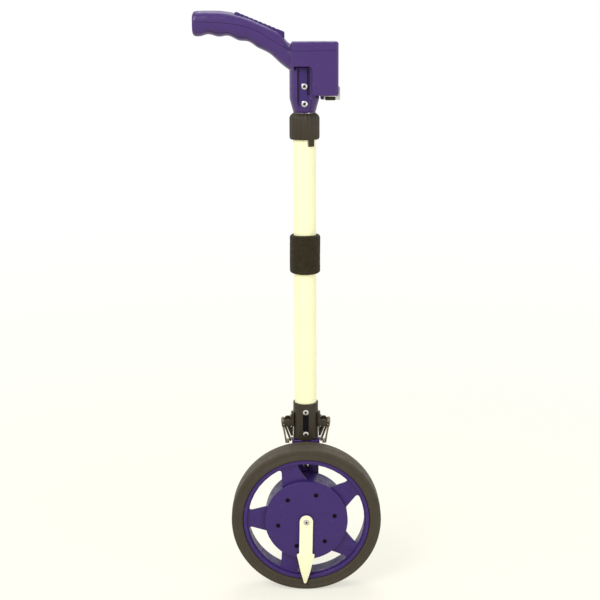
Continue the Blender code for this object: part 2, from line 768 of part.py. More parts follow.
spoke_disc = [polar((RIM_INNER + RIM_OUTER) / 2, math.tau * k / WHEEL_SIDES) for k in range(WHEEL_SIDES)]
spoke_hole = [polar((SLEEVE_BORE + SLEEVE_RADIUS) / 2, math.tau * k / SMALL_SIDES)
              for k in range(SMALL_SIDES)]
windows = [window_outline(SPOKE_PHASE + math.tau * (k + 0.5) / SPOKE_COUNT) for k in range(SPOKE_COUNT)]
spoke_plate = side_outline([spoke_disc, spoke_hole] + windows, SPOKE_FRONT + SPOKE_THICKNESS / 2,
                           SPOKE_THICKNESS / 2)
bmesh.ops.translate(spoke_plate, vec=(0, 0, AXLE_Z), verts=spoke_plate.verts)
cut_with(wheel_body, "spoke_plate", spoke_plate, "UNION")
for name, inner, outer, front, back, sides in (
        ("hub_drum", HUB_RADIUS - HUB_WALL, HUB_RADIUS, HUB_WALL_FRONT, HUB_WALL_BACK, HUB_SIDES),
        ("hub_sleeve", SLEEVE_BORE, SLEEVE_RADIUS, SLEEVE_FRONT, BACK_DRUM_BACK, TUBE_SIDES)):
    ring = turned(name, ring_profile(inner, outer, front, back), sides, None, (0, 0, AXLE_Z), "Y",
                  collection=cutters)
    cut(wheel_body, as_cutter(ring), "UNION")
hub_screw_places = [polar(HUB_SCREW_CIRCLE, HUB_SCREW_PHASE + math.tau * k / HUB_SCREW_COUNT)
                    for k in range(HUB_SCREW_COUNT)]
hub_screw_places = [(x, AXLE_Z + z) for x, z in hub_screw_places]
cut_with(wheel_body, "hub_bosses", together(*[
    rod(HUB_BOSS_RADIUS, HUB_WALL_FRONT, SPOKE_FRONT + BITE, TINY_SIDES, "Y", place)
    for place in hub_screw_places]), "UNION")
hub_screw_end = COVER_FRONT + HUB_SCREW_RECESS_DEPTH + HUB_SCREW_LENGTH + GAP
cut_with(wheel_body, "hub_boss_bores", together(*[
    rod(HUB_SCREW_SHANK + GAP, HUB_WALL_FRONT - OVERRUN, hub_screw_end, TINY_SIDES, "Y", place)
    for place in hub_screw_places]))

cover_bore = AXLE_RADIUS + GAP * 3
hub_cover = turned("hub_cover", [
    (HUB_RADIUS, COVER_BACK), (HUB_RADIUS, COVER_FRONT + COVER_EDGE), (HUB_RADIUS - COVER_EDGE, COVER_FRONT),
    (cover_bore, COVER_FRONT), (cover_bore, COVER_BACK)], HUB_SIDES, purple, (0, 0, AXLE_Z), "Y", wheel_axis)
cut_with(hub_cover, "cover_recesses", together(*[
    rod(HUB_SCREW_RECESS, COVER_FRONT - OVERRUN, COVER_FRONT + HUB_SCREW_RECESS_DEPTH, TINY_SIDES, "Y", place)
    for place in hub_screw_places]))
cut_with(hub_cover, "cover_holes", together(*[
    rod(HUB_SCREW_SHANK + GAP, COVER_FRONT - OVERRUN, COVER_BACK + OVERRUN, TINY_SIDES, "Y", place)
    for place in hub_screw_places]))
for k, (x, z) in enumerate(hub_screw_places):
    round_screw(f"hub_screw_{k + 1}", HUB_SCREW_RECESS - GAP, HUB_SCREW_HEAD_HEIGHT, HUB_SCREW_SHANK,
                HUB_SCREW_LENGTH, (x, COVER_FRONT + HUB_SCREW_RECESS_DEPTH - SEAT, z), (0, 1, 0), black,
                wheel_axis)

turned("hub_back", [
    (BACK_DRUM_RADIUS - COVER_EDGE, BACK_DRUM_BACK), (BACK_DRUM_RADIUS, BACK_DRUM_BACK - COVER_EDGE),
    (BACK_DRUM_RADIUS, BACK_DRUM_FRONT), (BACK_DRUM_RADIUS - HUB_WALL, BACK_DRUM_FRONT),
    (BACK_DRUM_RADIUS - HUB_WALL, BACK_DRUM_BACK - BACK_PLATE),
    (SLEEVE_RADIUS + GAP, BACK_DRUM_BACK - BACK_PLATE),
    (SLEEVE_RADIUS + GAP, BACK_DRUM_BACK)], HUB_SIDES, purple, (0, 0, AXLE_Z), "Y", wheel_axis)

hub_gear_front = BACK_DRUM_BACK - HUB_GEAR_SPIGOT_LENGTH
turned("hub_bush", ring_profile(BUSH_BORE, SLEEVE_BORE - GAP, SLEEVE_FRONT, hub_gear_front - GAP),
       TUBE_SIDES, brass, (0, 0, AXLE_Z), "Y", wheel_axis)

hub_gear_y = POLE_Y - BEVEL_DISTANCE
bevel_gear("hub_gear", BUSH_BORE, math.radians(-90), (0, hub_gear_y, AXLE_Z), (math.radians(-90), 0, 0),
           steel, wheel_axis, [(BEVEL_HUB, BACK_DRUM_BACK - BITE - hub_gear_y, BITE),
                               (SLEEVE_BORE - GAP, hub_gear_front - hub_gear_y,
                                BACK_DRUM_BACK - hub_gear_y)])

# Axle, its nut and the pointer

cover_back = LEG_BACK
axle_nut_front = cover_back + GAP
axle = add_object("axle", rod(AXLE_RADIUS, AXLE_FRONT, axle_nut_front + AXLE_NUT_HEIGHT + AXLE_TAIL,
                              TUBE_SIDES, "Y", (0, AXLE_Z)), finish=steel)
pointer_back = AXLE_FRONT - GAP
pointer_front = pointer_back - POINTER_THICKNESS
cut_with(axle, "axle_thread", rod(POINTER_SCREW_SHANK + GAP, AXLE_FRONT - OVERRUN,
                                  pointer_front + POINTER_SCREW_LENGTH + GAP, TINY_SIDES, "Y", (0, AXLE_Z)))
axle_nut = add_object("axle_nut", rod(AXLE_NUT_RADIUS, axle_nut_front, axle_nut_front + AXLE_NUT_HEIGHT,
                                      HEX_SIDES, "Y", (0, AXLE_Z)), finish=steel, smooth=False)
cut_with(axle_nut, "axle_nut_bore", rod(BUSH_BORE, LEG_BACK - OVERRUN,
                                        axle_nut_front + AXLE_NUT_HEIGHT + OVERRUN, TUBE_SIDES, "Y",
                                        (0, AXLE_Z)))

waist_z = -POINTER_SHOULDER_DROP - (POINTER_LENGTH - POINTER_SHOULDER_DROP) * POINTER_WAIST_SHARE
waist_x = POINTER_SHOULDER_HALF_WIDTH * POINTER_WAIST_WIDTH_SHARE
shoulder_z = -POINTER_SHOULDER_DROP - POINTER_SHOULDER_STEP
right_side = [(POINTER_HALF_WIDTH, -POINTER_SHOULDER_DROP),
              (POINTER_SHOULDER_HALF_WIDTH, -POINTER_SHOULDER_DROP),
              (POINTER_SHOULDER_HALF_WIDTH, shoulder_z), (waist_x, waist_z),
              (POINTER_TIP_HALF_WIDTH, -POINTER_LENGTH)]
pointer_outline = arc((0, 0), POINTER_HALF_WIDTH, math.pi, 0, POINTER_ROUND_STEPS) + right_side
pointer_outline += [(-x, z) for x, z in reversed(right_side)]
pointer_bm = side_outline([pointer_outline], 0, POINTER_THICKNESS / 2)
lean = Matrix.Rotation(POINTER_LEAN, 4, "Y")
bmesh.ops.transform(pointer_bm, matrix=lean, verts=pointer_bm.verts)
pointer = add_object("pointer_arm", pointer_bm, (0, (pointer_back + pointer_front) / 2, AXLE_Z), finish=cream,
                     parent=pointer_axis)
cut_with(pointer, "pointer_bore", rod(POINTER_SCREW_SHANK + GAP, pointer_front - OVERRUN,
                                      pointer_back + OVERRUN, TINY_SIDES, "Y", (0, AXLE_Z)))
round_screw("pointer_screw", POINTER_SCREW_HEAD, POINTER_SCREW_HEAD_HEIGHT, POINTER_SCREW_SHANK,
            POINTER_SCREW_LENGTH, (0, pointer_front - GAP, AXLE_Z), (0, 1, 0), steel)

# Leg with the gearbox at its foot

leg_angle = math.acos(LEG_HALF_WIDTH / GEARBOX_RADIUS)
leg_outline = [(-LEG_HALF_WIDTH, LEG_TOP), (LEG_HALF_WIDTH, LEG_TOP)]
leg_outline += arc((0, AXLE_Z), GEARBOX_RADIUS, leg_angle, -math.pi - leg_angle, LEG_ROUND_STEPS)
leg = add_object("leg", side_outline([leg_outline], POLE_Y, LEG_HALF_DEPTH), finish=purple)
round_edges(leg, LEG_EDGE)
cavity_front = LEG_FRONT + LEG_FRONT_WALL
cut_with(leg, "gearbox_cavity", rod(GEARBOX_CAVITY, cavity_front, LEG_BACK + OVERRUN, TUBE_SIDES, "Y",
                                    (0, AXLE_Z)))
cut_with(leg, "gearbox_opening", rod(LEG_FRONT_OPENING, LEG_FRONT - OVERRUN, cavity_front + OVERRUN,
                                     TUBE_SIDES, "Y", (0, AXLE_Z)))
cut_with(leg, "leg_bore", rod(SHAFT_BORE, AXLE_Z, LEG_TOP + OVERRUN, TUBE_SIDES, "Z", (0, POLE_Y)))
cut_with(leg, "leg_pocket", rod(SPIGOT_RADIUS + GAP, SOCKET_BOTTOM - SPIGOT_DEPTH - GAP, LEG_TOP + OVERRUN,
                                TUBE_SIDES, "Z", (0, POLE_Y)))
groove_floor = LEG_FRONT + LEG_GROOVE_DEPTH
cut_with(leg, "leg_groove", block((-LEG_GROOVE_HALF_WIDTH, LEG_FRONT - OVERRUN, LEG_GROOVE_BOTTOM),
                                  (LEG_GROOVE_HALF_WIDTH, groove_floor, LEG_GROOVE_TOP)))
cut_with(leg, "leg_screw_hole", rod(SCREW_SHANK + GAP, LEG_FRONT - OVERRUN, POLE_Y, TINY_SIDES, "Y",
                                    (0, LEG_SCREW_Z)))
bush_wall_middle = POLE_Y - (SHAFT_BORE + SHAFT_RADIUS) / 2
round_screw("leg_screw", SCREW_HEAD, SCREW_HEAD_HEIGHT, SCREW_SHANK, bush_wall_middle - groove_floor,
            (0, groove_floor - SEAT, LEG_SCREW_Z), (0, 1, 0), steel)
shaft_bush = tube("shaft_bush", SHAFT_RADIUS + GAP, SHAFT_BORE - GAP, LEG_SCREW_Z - SHAFT_BUSH_LENGTH / 2,
                  LEG_SCREW_Z + SHAFT_BUSH_LENGTH / 2, brass)
cut_with(shaft_bush, "shaft_bush_hole", rod(SCREW_SHANK + GAP, LEG_FRONT, POLE_Y, TINY_SIDES, "Y",
                                            (0, LEG_SCREW_Z)))
turned("gearbox_cover", ring_profile(BUSH_BORE, GEARBOX_CAVITY - GAP, LEG_BACK - GEARBOX_COVER_THICKNESS,
                                     LEG_BACK), TUBE_SIDES, black, (0, 0, AXLE_Z), "Y")

# Drive up the leg and the pole

square_half = SHAFT_SQUARE / 2
shaft_gear_z = AXLE_Z + BEVEL_DISTANCE
drive_shaft = bevel_gear("drive_shaft", 0, math.radians(90) + math.pi / BEVEL_TEETH,
                         (0, POLE_Y, shaft_gear_z), (math.radians(180), 0, 0), steel, shaft_axis,
                         [(BEVEL_HUB, -BEVEL_HUB_LENGTH, BITE),
                          (SHAFT_RADIUS, shaft_gear_z - SHAFT_TOP, BITE)])
cut_with(drive_shaft, "shaft_square", block((-square_half, POLE_Y - square_half, SHAFT_TOP - BITE),
                                            (square_half, POLE_Y + square_half,
                                             SHAFT_TOP + SHAFT_SQUARE_LENGTH)), "UNION")


def square_loop(half):
    return [(-half, -half), (half, -half), (half, half), (-half, half)]


drive_tube_bottom = SHAFT_TOP + GAP
drive_tube_bm = flat_loops([square_loop(DRIVE_TUBE_WIDTH / 2), square_loop(square_half + GAP)],
                           (DRIVE_TUBE_TOP - drive_tube_bottom) / 2)
add_object("drive_tube", drive_tube_bm, (0, POLE_Y, (DRIVE_TUBE_TOP + drive_tube_bottom) / 2), finish=steel,
           parent=shaft_axis, smooth=False)

upper_gear_z = COUNTER_Z - BEVEL_DISTANCE
drive_rod = bevel_gear("drive_rod", 0, math.radians(90), (0, POLE_Y, upper_gear_z), (0, 0, 0), steel,
                       rod_axis, [(BEVEL_HUB, -BEVEL_HUB_LENGTH, BITE),
                                  (ROD_ROUND_RADIUS - GAP, INNER_TUBE_TOP - BITE - upper_gear_z, BITE)])
cut_with(drive_rod, "rod_square", block((-square_half, POLE_Y - square_half, ROD_BOTTOM),
                                        (square_half, POLE_Y + square_half, INNER_TUBE_TOP)), "UNION")
upper_bush_bottom = INNER_TUBE_TOP + GAP * 3
tube("upper_bush", ROD_ROUND_RADIUS, GEAR_BORE - GAP, upper_bush_bottom,
     upper_bush_bottom + UPPER_BUSH_LENGTH, brass, parent=head_slide)

# Pole socket, its screws and the two latches

socket_floor_top = SOCKET_BOTTOM + SOCKET_FLOOR
socket = turned("pole_socket", [
    (0, SOCKET_TOP), (SOCKET_RADIUS - SOCKET_EDGE, SOCKET_TOP), (SOCKET_RADIUS, SOCKET_TOP - SOCKET_EDGE),
    (SOCKET_RADIUS, SOCKET_BOTTOM), (SPIGOT_RADIUS, SOCKET_BOTTOM),
    (SPIGOT_RADIUS, SOCKET_BOTTOM - SPIGOT_DEPTH),
    (0, SOCKET_BOTTOM - SPIGOT_DEPTH)], TUBE_SIDES, black, (0, POLE_Y, 0))
pad_bottom = LATCH_PLATE_Z - LATCH_PLATE_THICKNESS / 2
cut_with(socket, "latch_pads", block((-LATCH_PAD_REACH, POLE_Y - LATCH_PAD_HALF_DEPTH, pad_bottom),
                                     (LATCH_PAD_REACH, POLE_Y + LATCH_PAD_HALF_DEPTH,
                                      pad_bottom + LATCH_PAD_HEIGHT)), "UNION")
cut_with(socket, "socket_bore", rod(SOCKET_BORE, socket_floor_top, SOCKET_TOP + OVERRUN, TUBE_SIDES, "Z",
                                    (0, POLE_Y)))
cut_with(socket, "socket_way", rod(SHAFT_BORE, SOCKET_BOTTOM - SPIGOT_DEPTH - OVERRUN,
                                   socket_floor_top + OVERRUN, TUBE_SIDES, "Z", (0, POLE_Y)))
socket_front = POLE_Y - SOCKET_RADIUS
cut_with(socket, "socket_groove", block(
    (-SOCKET_GROOVE_HALF_WIDTH, socket_front - OVERRUN, SOCKET_SCREW_ZS[0] + SCREW_HEAD),
    (SOCKET_GROOVE_HALF_WIDTH, socket_front + SOCKET_GROOVE_DEPTH, SOCKET_SCREW_ZS[1] - SCREW_HEAD)))
socket_screw_holes = [rod(SCREW_SHANK + GAP, socket_front - OVERRUN, POLE_Y, TINY_SIDES, "Y", (0, z))
                      for z in SOCKET_SCREW_ZS]
socket_screw_cutter = cut_with(socket, "socket_screw_holes", together(*socket_screw_holes))
rivet_cutter = cut_with(socket, "rivet_holes", rod(RIVET_SHANK + GAP, -LATCH_PAD_REACH - OVERRUN,
                                                   LATCH_PAD_REACH + OVERRUN, TINY_SIDES, "X",
                                                   (POLE_Y, RIVET_Z)))
for name, z in zip(("socket_screw_lower", "socket_screw_upper"), SOCKET_SCREW_ZS):
    round_screw(name, SCREW_HEAD, SCREW_HEAD_HEIGHT, SCREW_SHANK, SOCKET_SCREW_DEPTH,
                (0, socket_front - SEAT, z), (0, 1, 0), steel)

pivot = Vector((LATCH_PIVOT_X, LATCH_PIVOT_Z))
bar = Vector((LATCH_BAR_X, LATCH_BAR_Z))
pull = (pivot - bar).normalized()
eye = pivot + pull * LATCH_TOGGLE
pull_angle = math.atan2(pull.y, pull.x)
ear_inside = LATCH_PLATE_HALF_DEPTH - LATCH_EAR_THICKNESS
lever_half = ear_inside - GAP
channel_half = lever_half - LATCH_CHEEK
wire_half = channel_half - GAP - LATCH_WIRE
catch_half = wire_half - LATCH_WIRE - GAP


def blade_edge(share):
    """The outer edge of a latch lever's blade, at a share of its length below the pivot."""
    inward = LATCH_BLADE_LEAN * share + LATCH_BLADE_BOW * math.sin(math.pi * share)
    return (pivot.x + LATCH_HEAD_RADIUS - inward, pivot.y - LATCH_BLADE_LENGTH * share)


def latch_box(side, low, high):
    xs = sorted((side * low[0], side * high[0]))
    return block((xs[0], POLE_Y + low[1], low[2]), (xs[1], POLE_Y + high[1], high[2]))


def flip(side, points):
    return [(side * x, z) for x, z in points]


def latch_bracket(side, word):
    """Plate with a slot that the lever's head turns in, two ears beside it, a back plate and two braces."""
    near = LATCH_PAD_REACH + SEAT
    plate_top = LATCH_PLATE_Z + LATCH_PLATE_THICKNESS
    plate_end = pivot.x - LATCH_HEAD_RADIUS - GAP * 2
    half = LATCH_PLATE_HALF_DEPTH
    bracket = add_object(f"latch_bracket_{word}", latch_box(side, (near, -half, LATCH_PLATE_Z),
                                                            (plate_end, half, plate_top)), finish=black,
                         smooth=False)
    slot_end = pivot.x - LATCH_TOGGLE - LATCH_EYE_RADIUS - GAP
    slot_half = ear_inside + SEAT
    cut_with(bracket, f"bracket_slot_{word}",
             latch_box(side, (slot_end, -slot_half, LATCH_PLATE_Z - OVERRUN),
                       (plate_end + OVERRUN, slot_half, plate_top + OVERRUN)))
    cut_with(bracket, f"bracket_back_{word}",
             latch_box(side, (near + SEAT / 2, SEAT - half, LATCH_PLATE_Z + SEAT),
                       (near + LATCH_PLATE_THICKNESS, half - SEAT, LATCH_PLATE_Z + LATCH_PLATE_HEIGHT)),
             "UNION")
    brace_top = LATCH_PLATE_Z + BITE
    brace_low = LATCH_PLATE_Z - LATCH_BRACE_DROP
    brace_root = near + SEAT
    brace_reach = plate_end - SEAT
    brace = [(brace_root, brace_top), (brace_reach, brace_top),
             (brace_reach, LATCH_PLATE_Z - LATCH_BRACE_BAR / 2), (brace_root + LATCH_BRACE_BAR, brace_low),
             (brace_root, brace_low)]
    hole = [(brace_root + LATCH_BRACE_BAR, LATCH_PLATE_Z + SEAT),
            (brace_root + LATCH_BRACE_BAR, brace_low + LATCH_BRACE_BAR * 2),
            (brace_reach - LATCH_BRACE_BAR, LATCH_PLATE_Z + SEAT)]
    for end, low_y, high_y in (("front", SEAT - half, -ear_inside), ("rear", ear_inside, half - SEAT)):
        cut_with(bracket, f"bracket_ear_{end}_{word}", latch_box(side, (
            plate_end - BITE, low_y, pivot.y - LATCH_EAR_HEIGHT / 2), (
            pivot.x + LATCH_EAR_MARGIN, high_y, pivot.y + LATCH_EAR_HEIGHT / 2)), "UNION")
        way = math.copysign(1, low_y + high_y)
        brace_bm = side_outline([flip(side, brace), flip(side, hole)],
                                POLE_Y + way * (half - SEAT * 2 - LATCH_BRACE_THICKNESS / 2),
                                LATCH_BRACE_THICKNESS / 2)
        cut_with(bracket, f"bracket_brace_{end}_{word}", brace_bm, "UNION")
    cut_with(bracket, f"bracket_pin_bores_{word}", rod(LATCH_PIN_RADIUS + GAP, POLE_Y - half - OVERRUN,
                                                       POLE_Y + half + OVERRUN, TINY_SIDES, "Y",
                                                       (side * pivot.x, pivot.y)))
    cut(bracket, rivet_cutter)
    round_screw(f"latch_rivet_{word}", RIVET_HEAD, RIVET_HEAD_HEIGHT, RIVET_SHANK, RIVET_DEPTH,
                (side * (near + LATCH_PLATE_THICKNESS + SEAT), POLE_Y, RIVET_Z), (-side, 0, 0), zinc)


def latch_lever(side, word, lever_axis):
    """Bent sheet with two cheeks: open towards the pole, where the wire turns, with its pins in the ears."""
    outer = [blade_edge(share) for share in BLADE_SHARES]
    inner = [(x - LATCH_BLADE_THICKNESS, z) for x, z in outer[:-1]]
    foot_x, foot_z = outer[-1]
    foot = [(foot_x - LATCH_FOOT, foot_z), (foot_x - LATCH_FOOT, foot_z + LATCH_BLADE_THICKNESS),
            (foot_x - LATCH_BLADE_THICKNESS, foot_z + LATCH_BLADE_THICKNESS)]
    outline = arc(tuple(eye), LATCH_EYE_RADIUS, pull_angle - math.pi / 2, pull_angle + math.pi / 2,
                  SMALL_ROUND_STEPS)
    outline += arc(tuple(pivot), LATCH_HEAD_RADIUS, pull_angle + math.pi / 2, LATCH_HEAD_END,
                   SMALL_ROUND_STEPS)
    outline += inner + foot[::-1] + outer[::-1]
    lever = add_object(f"latch_lever_{word}", side_outline([flip(side, outline)], POLE_Y, lever_half),
                       finish=zinc, parent=lever_axis)
    out = Vector((pull.y, -pull.x))
    top = eye + pull * OVERRUN + out * (LATCH_WIRE + GAP)
    low = bar + out * (LATCH_WIRE + GAP)
    inward = out * (LATCH_HEAD_RADIUS * 2 + LATCH_FOOT)
    channel = [tuple(point) for point in (top, low, low - inward, top - inward)]
    cut_with(lever, f"latch_channel_{word}", side_outline([flip(side, channel)], POLE_Y, channel_half))
    cut_with(lever, f"latch_eye_holes_{word}", rod(LATCH_WIRE + GAP, POLE_Y - lever_half - OVERRUN,
                                                   POLE_Y + lever_half + OVERRUN, TINY_SIDES, "Y",
                                                   (side * eye.x, eye.y)))
    pins = [rod(LATCH_PIN_RADIUS, *sorted((POLE_Y + way * (channel_half + SEAT),
                                           POLE_Y + way * (LATCH_PLATE_HALF_DEPTH - SEAT))), TINY_SIDES, "Y",
                (side * pivot.x, pivot.y)) for way in (-1, 1)]
    cut_with(lever, f"latch_pins_{word}", together(*pins), "UNION")


def latch(side, word):
    """One toggle latch: bracket, rivet, lever, bent wire and the catch on the leg."""
    lever_axis = axis_empty(f"latch_lever_axis_{word}", (side * pivot.x, POLE_Y, pivot.y))
    loop_axis = axis_empty(f"latch_loop_axis_{word}", (side * eye.x, POLE_Y, eye.y), lever_axis)
    latch_bracket(side, word)
    latch_lever(side, word, lever_axis)
    ends = [(eye, lever_half - SEAT), (eye, wire_half), (bar, wire_half)]
    stops = [Vector((side * place.x, POLE_Y - across, place.y)) for place, across in ends]
    stops += [Vector((side * place.x, POLE_Y + across, place.y)) for place, across in reversed(ends)]
    wire(f"latch_loop_{word}", bent(stops, LATCH_WIRE_BEND), LATCH_WIRE, steel, loop_axis)

    root = LEG_HALF_WIDTH + SEAT
    face = root + CATCH_THICKNESS
    under = bar.y + LATCH_WIRE + GAP
    lip = bar.x + LATCH_WIRE + GAP
    tip = lip + CATCH_LIP_THICKNESS
    hook = [(root, CATCH_BOTTOM), (face, CATCH_BOTTOM), (face, under), (lip, under), (lip, under - CATCH_LIP),
            (tip, under - CATCH_LIP), (tip, under + CATCH_LEDGE), (root, under + CATCH_LEDGE)]
    add_object(f"latch_catch_{word}", side_outline([flip(side, hook)], POLE_Y, catch_half), finish=steel,
               smooth=False)


latch(-1, "left")
latch(1, "right")

# Outer tube, foam collar, clamp collet and clamp nut

outer_tube = tube("outer_tube", OUTER_TUBE_RADIUS - TUBE_WALL, OUTER_TUBE_RADIUS, socket_floor_top + GAP,
                  OUTER_TUBE_TOP, aluminium)
cut(outer_tube, socket_screw_cutter)
collar_round = arc((COLLAR_RADIUS - COLLAR_EDGE, COLLAR_TOP - COLLAR_EDGE), COLLAR_EDGE, math.pi / 2, 0,
                   COLLAR_EDGE_STEPS)
collar_round += arc((COLLAR_RADIUS - COLLAR_EDGE, COLLAR_BOTTOM + COLLAR_EDGE), COLLAR_EDGE, 0, -math.pi / 2,
                    COLLAR_EDGE_STEPS)
turned("foam_collar", collar_round + [(OUTER_TUBE_RADIUS + GAP, COLLAR_BOTTOM),
                                      (OUTER_TUBE_RADIUS + GAP, COLLAR_TOP)], TUBE_SIDES, foam,
       (0, POLE_Y, 0))

collet_outer = SOCKET_BORE + COLLET_WALL
collet_roof = OUTER_TUBE_TOP + GAP
collet = turned("clamp_collet", [
    (collet_outer, COLLET_TOP), (collet_outer, COLLET_BOTTOM), (SOCKET_BORE, COLLET_BOTTOM),
    (SOCKET_BORE, collet_roof),
    (TUBE_PASSAGE, collet_roof), (TUBE_PASSAGE, COLLET_TOP)], TUBE_SIDES, black, (0, POLE_Y, 0))
tab_reach = math.sqrt(collet_outer ** 2 - (COLLET_TAB_WIDTH / 2) ** 2)
tab_bm = block((SOCKET_BORE + SEAT, -COLLET_TAB_WIDTH / 2, COLLET_BOTTOM - COLLET_TAB_DROP),
               (tab_reach, COLLET_TAB_WIDTH / 2, COLLET_BOTTOM + BITE))
tab_turn = Matrix.Translation((0, POLE_Y, 0)) @ Matrix.Rotation(COLLET_TAB_ANGLE, 4, "Z")
bmesh.ops.transform(tab_bm, matrix=tab_turn, verts=tab_bm.verts)
cut_with(collet, "collet_tab", tab_bm, "UNION")

flute_outline = []
for k in range(NUT_FLUTES):
    for turn_share, radius_share in NUT_OUTLINE_SHARES:
        flute_outline.append(polar(NUT_RADIUS * radius_share, math.tau * (k + turn_share) / NUT_FLUTES))
nut_rows = ((NUT_BOTTOM, NUT_CHAMFER_SHARE), (NUT_BOTTOM + NUT_CHAMFER, 1), (NUT_TOP - NUT_CHAMFER, 1),
            (NUT_TOP, NUT_CHAMFER_SHARE))
nut_bm = loft([[(x * share, y * share, z) for x, y in flute_outline] for z, share in nut_rows])
bmesh.ops.translate(nut_bm, vec=(0, POLE_Y, 0), verts=nut_bm.verts)
nut = add_object("clamp_nut", nut_bm, finish=black, parent=nut_axis)
cut_with(nut, "nut_cavity", rod(collet_outer + GAP, NUT_BOTTOM - OVERRUN, NUT_TOP - NUT_ROOF, TUBE_SIDES, "Z",
                                (0, POLE_Y)))
cut_with(nut, "nut_way", rod(TUBE_PASSAGE, NUT_BOTTOM, NUT_TOP + OVERRUN, TUBE_SIDES, "Z", (0, POLE_Y)))

inner_tube = tube("inner_tube", INNER_TUBE_RADIUS - TUBE_WALL, INNER_TUBE_RADIUS, INNER_TUBE_BOTTOM,
                  INNER_TUBE_TOP, aluminium, parent=head_slide)
cut_with(inner_tube, "neck_screw_holes",
         together(*[rod(SCREW_SHANK + GAP, POLE_Y - NECK_GROOVE_FLOOR, POLE_Y, TINY_SIDES, "Y", (0, z))
                    for z in NECK_SCREW_ZS]))

# Head: two shells of one form, parted along the grip line and the lid line


def grip_x(share):
    return BOX_BACK - share * GRIP_REACH


def grip_z(table, share):
    return GRIP_LOW + smooth_through(table, share) * GRIP_RISE


def grip_bottom(share):
    """The underside, drawn in between the crests for the fingers."""
    pitch_share = FINGER_PITCH / GRIP_REACH
    along = (FINGER_START_SHARE - share) / pitch_share
    scallop = 0
    if 0 < along < FINGER_COUNT:
        scallop = FINGER_DEPTH * math.sin(math.pi * along) ** 2
    return grip_z(GRIP_BOTTOM_SHARES, share) + scallop


def grip_half_width(share):
    root = max(0, 1 - share / GRIP_ROOT_SHARE)
    width = GRIP_HALF_WIDTH + (GRIP_ROOT_HALF_WIDTH - GRIP_HALF_WIDTH) * root ** 2
    return width * smooth_through(GRIP_WIDTH_SHARES, share)


def grip_rings(first_share, last_share, stations, inset, floor):
    rings = []
    for i in range(stations + 1):
        share = first_share + (last_share - first_share) * i / stations
        top = grip_z(GRIP_TOP_SHARES, share) - inset
        bottom = max(grip_bottom(share) + inset, floor)
        half_height = (top - bottom) / 2
        half_width = grip_half_width(share) - inset
        ring = []
        for k in range(GRIP_SECTION_STEPS):
            angle = math.tau * (k + 0.5) / GRIP_SECTION_STEPS
            across, up = math.cos(angle), math.sin(angle)
            power = 2 / GRIP_SQUARENESS
            ring.append((grip_x(share),
                         POLE_Y + math.copysign(abs(across) ** power, across) * half_width,
                         (top + bottom) / 2 + math.copysign(abs(up) ** power, up) * half_height))
        rings.append(ring)
    return rings


def box_outline(inset, top):
    step_x = STEP_X if inset == 0 else TUBE_PASSAGE + BOX_WALL
    return [(BOX_BACK + inset, top), (BOX_FRONT - inset, top), (BOX_FRONT - inset, BOX_BOTTOM + inset),
            (step_x, BOX_BOTTOM + inset), (step_x, STEP_Z + inset), (BOX_BACK + inset, STEP_Z + inset)]


grip_solid = as_cutter(add_object("grip_form",
                                  loft(grip_rings(-GRIP_ROOT_OVERLAP / GRIP_REACH, 1, GRIP_STATIONS, 0, 0)),
                                  collection=cutters, smooth=False))


def head_block(name):
    made = add_object(name, side_outline([box_outline(0, BOX_TOP)], POLE_Y, BOX_HALF_DEPTH),
                      finish=purple_grip, parent=head_slide)
    round_edges(made, BOX_EDGE, BOX_EDGE_SEGMENTS)
    cut(made, grip_solid, "UNION")
    return made


def lower_zone(lift):
    """Everything below the parting line, raised by the lift."""
    line = [(grip_x(share), grip_z(GRIP_LINE_SHARES, share) + lift)
            for share in GRIP_LINE_STATION_SHARES]
    reach = BOX_FRONT + OVERRUN
    low = NECK_BOTTOM - OVERRUN
    return line + [(reach, LID_LINE + lift), (reach, low), (line[0][0], low)]


def zone_cutter(name, lift):
    bm = side_outline([lower_zone(lift)], POLE_Y, BOX_HALF_DEPTH + OVERRUN)
    return as_cutter(add_object(name, bm, collection=cutters, smooth=False))


hollow_floor = STEP_Z + BOX_WALL
box_hollow = as_cutter(add_object("box_hollow", side_outline([box_outline(BOX_WALL, BOX_TOP - BOX_WALL)],
                                                             POLE_Y, BOX_HALF_DEPTH - BOX_WALL),
                                  collection=cutters, smooth=False))
hollow_first = -(BOX_WALL + BITE) / GRIP_REACH
hollow_last = 1 - GRIP_WALL / GRIP_REACH


def boss_posts():
    low, high = GRIP_LOW, GRIP_LOW + GRIP_RISE
    return together(*[rod(SHELL_BOSS_RADIUS, low, high, TINY_SIDES, "Z", (grip_x(share), POLE_Y))
                      for share in SHELL_SCREW_SHARES])


def grip_hollow(name):
    bm = loft(grip_rings(hollow_first, hollow_last, GRIP_STATIONS // 2, GRIP_WALL, hollow_floor))
    hollow = as_cutter(add_object(name, bm, collection=cutters, smooth=False))
    cut_with(hollow, name + "_posts", boss_posts())
    return hollow


